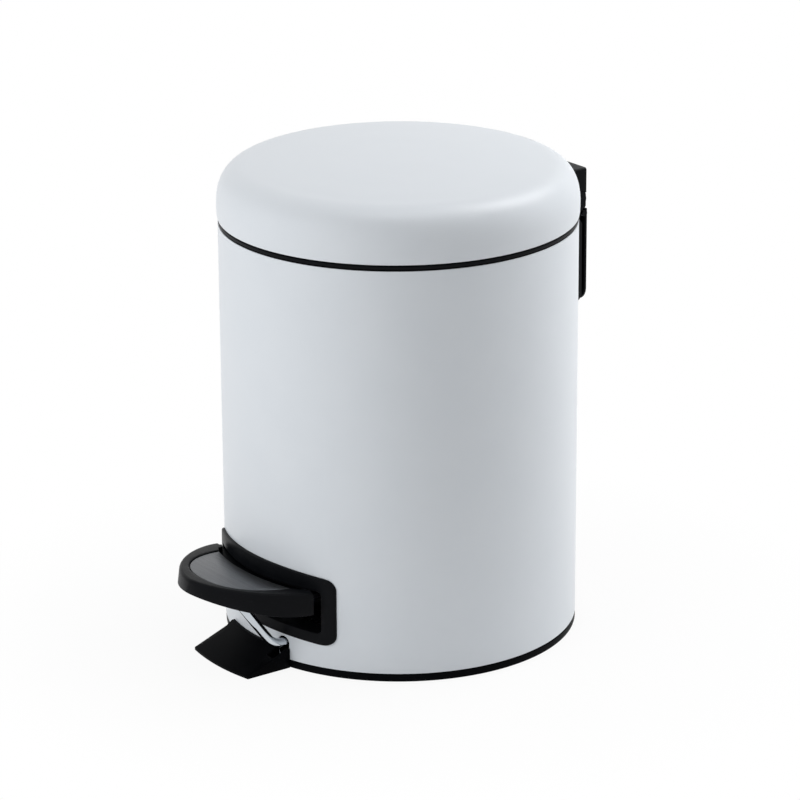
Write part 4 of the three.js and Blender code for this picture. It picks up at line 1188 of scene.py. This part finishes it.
# Name, azimuth from the view's, elevation, width, power, and whether it is mirrored. A lamp that isn't mirrored
# lights the bin and leaves no glare on the pale paint.
LAMPS = [
    ("left softbox", -61, 18, 1.3, 11.6, False),
    ("right softbox", 97, 18, 0.9, 7.6, False),
    ("high back softbox", 120, 52, 0.8, 9.3, True),
    ("overhead softbox", 0, 85, 0.8, 2.8, True),
]
LAMP_DISTANCE = 1.5
LAMP_HEIGHT = 0.8
LAMP_AIM = 0.14  # height at which they look


def seen_directly(tree):
    """1 for a ray that shows the room, in a mirror or through glass too, and 0 for one that lights the bin."""
    rays = add(tree, "ShaderNodeLightPath").outputs
    seen = maths(tree, "MAXIMUM", rays["Is Camera Ray"], rays["Is Glossy Ray"])
    return maths(tree, "MAXIMUM", seen, rays["Is Transmission Ray"])


def studio_floor():
    """A wide square floor that keeps the bin's shadow and fades to the white of the room."""
    mesh = bpy.data.meshes.new("floor")
    corners = [(-1, -1), (1, -1), (1, 1), (-1, 1)]
    places = [(x * FLOOR_REACH, y * FLOOR_REACH, -FLOOR_DROP) for x, y in corners]
    mesh.from_pydata(places, [], [(0, 1, 2, 3)])
    finish = Finish("floor")
    finish.shade(Base_Color=(0.86, 0.86, 0.86, 1.0), Roughness=0.9, Specular_IOR_Level=0.0)
    tree = finish.tree

    def blend(share, first, second):
        node = add(tree, "ShaderNodeMixShader")
        feed(tree, node.inputs, (share, first, second))
        return node.outputs[0]

    away = add(tree, "ShaderNodeVectorMath", {"operation": "LENGTH"}, Vector=finish.place).outputs["Value"]
    near, far, level = SHADOW
    white = maths(tree, "MULTIPLY", seen_directly(tree), remap(tree, away, near, far, level, 1.0))
    glow = add(tree, "ShaderNodeEmission", Strength=1.0)
    top = blend(white, finish.shader.outputs[0], glow.outputs[0])
    from_below = add(tree, "ShaderNodeNewGeometry").outputs["Backfacing"]
    surface = blend(from_below, top, add(tree, "ShaderNodeBsdfTransparent").outputs[0])
    tree.links.new(surface, tree.nodes["Material Output"].inputs["Surface"])
    mesh.materials.append(finish.material)
    placed("floor", mesh)


def room_light():
    world = bpy.data.worlds.new("room")
    bpy.context.scene.world = world
    world.use_nodes = True
    tree = world.node_tree
    strength = remap(tree, seen_directly(tree), 0.0, 1.0, ROOM_LEVEL, 1.0)
    feed_named(tree, tree.nodes["Background"], {"Strength": strength, "Color": (1.0, 1.0, 1.0, 1.0)})


def outwards(azimuth, elevation):
    """The way out from the bin, at an azimuth from -Y towards +X."""
    turn, lift = math.radians(azimuth), math.radians(elevation)
    return Vector((math.sin(turn) * math.cos(lift), -math.cos(turn) * math.cos(lift), math.sin(lift)))


def softbox(name, azimuth, elevation, width, power, mirrored):
    lamp = bpy.data.lights.new(name, "AREA")
    lamp.shape = "RECTANGLE"
    lamp.size = width
    lamp.size_y = LAMP_HEIGHT
    lamp.energy = power
    holder = placed(name, lamp)
    back = outwards(VIEW_AZIMUTH + azimuth, elevation)
    holder.location = Vector((0, 0, LAMP_AIM)) + back * LAMP_DISTANCE
    holder.visible_glossy = mirrored
    holder.rotation_mode = "QUATERNION"
    holder.rotation_quaternion = (-back).to_track_quat("-Z", "Y")


def camera():
    data = bpy.data.cameras.new("camera")
    data.lens = LENS
    data.sensor_width = SENSOR
    data.shift_x, data.shift_y = VIEW_SHIFT
    holder = placed("camera", data)
    back = outwards(VIEW_AZIMUTH, VIEW_ELEVATION)
    place = Matrix.Translation(Vector((0, 0, VIEW_HEIGHT)) + back * VIEW_DISTANCE)
    aim = (-back).to_track_quat("-Z", "Y").to_matrix().to_4x4()
    holder.matrix_world = place @ aim @ Matrix.Rotation(math.radians(VIEW_ROLL), 4, "Z")
    bpy.context.scene.camera = holder


studio_floor()
room_light()
for lamp in LAMPS:
    softbox(*lamp)
camera()
bpy.context.scene.view_settings.view_transform = "Standard"
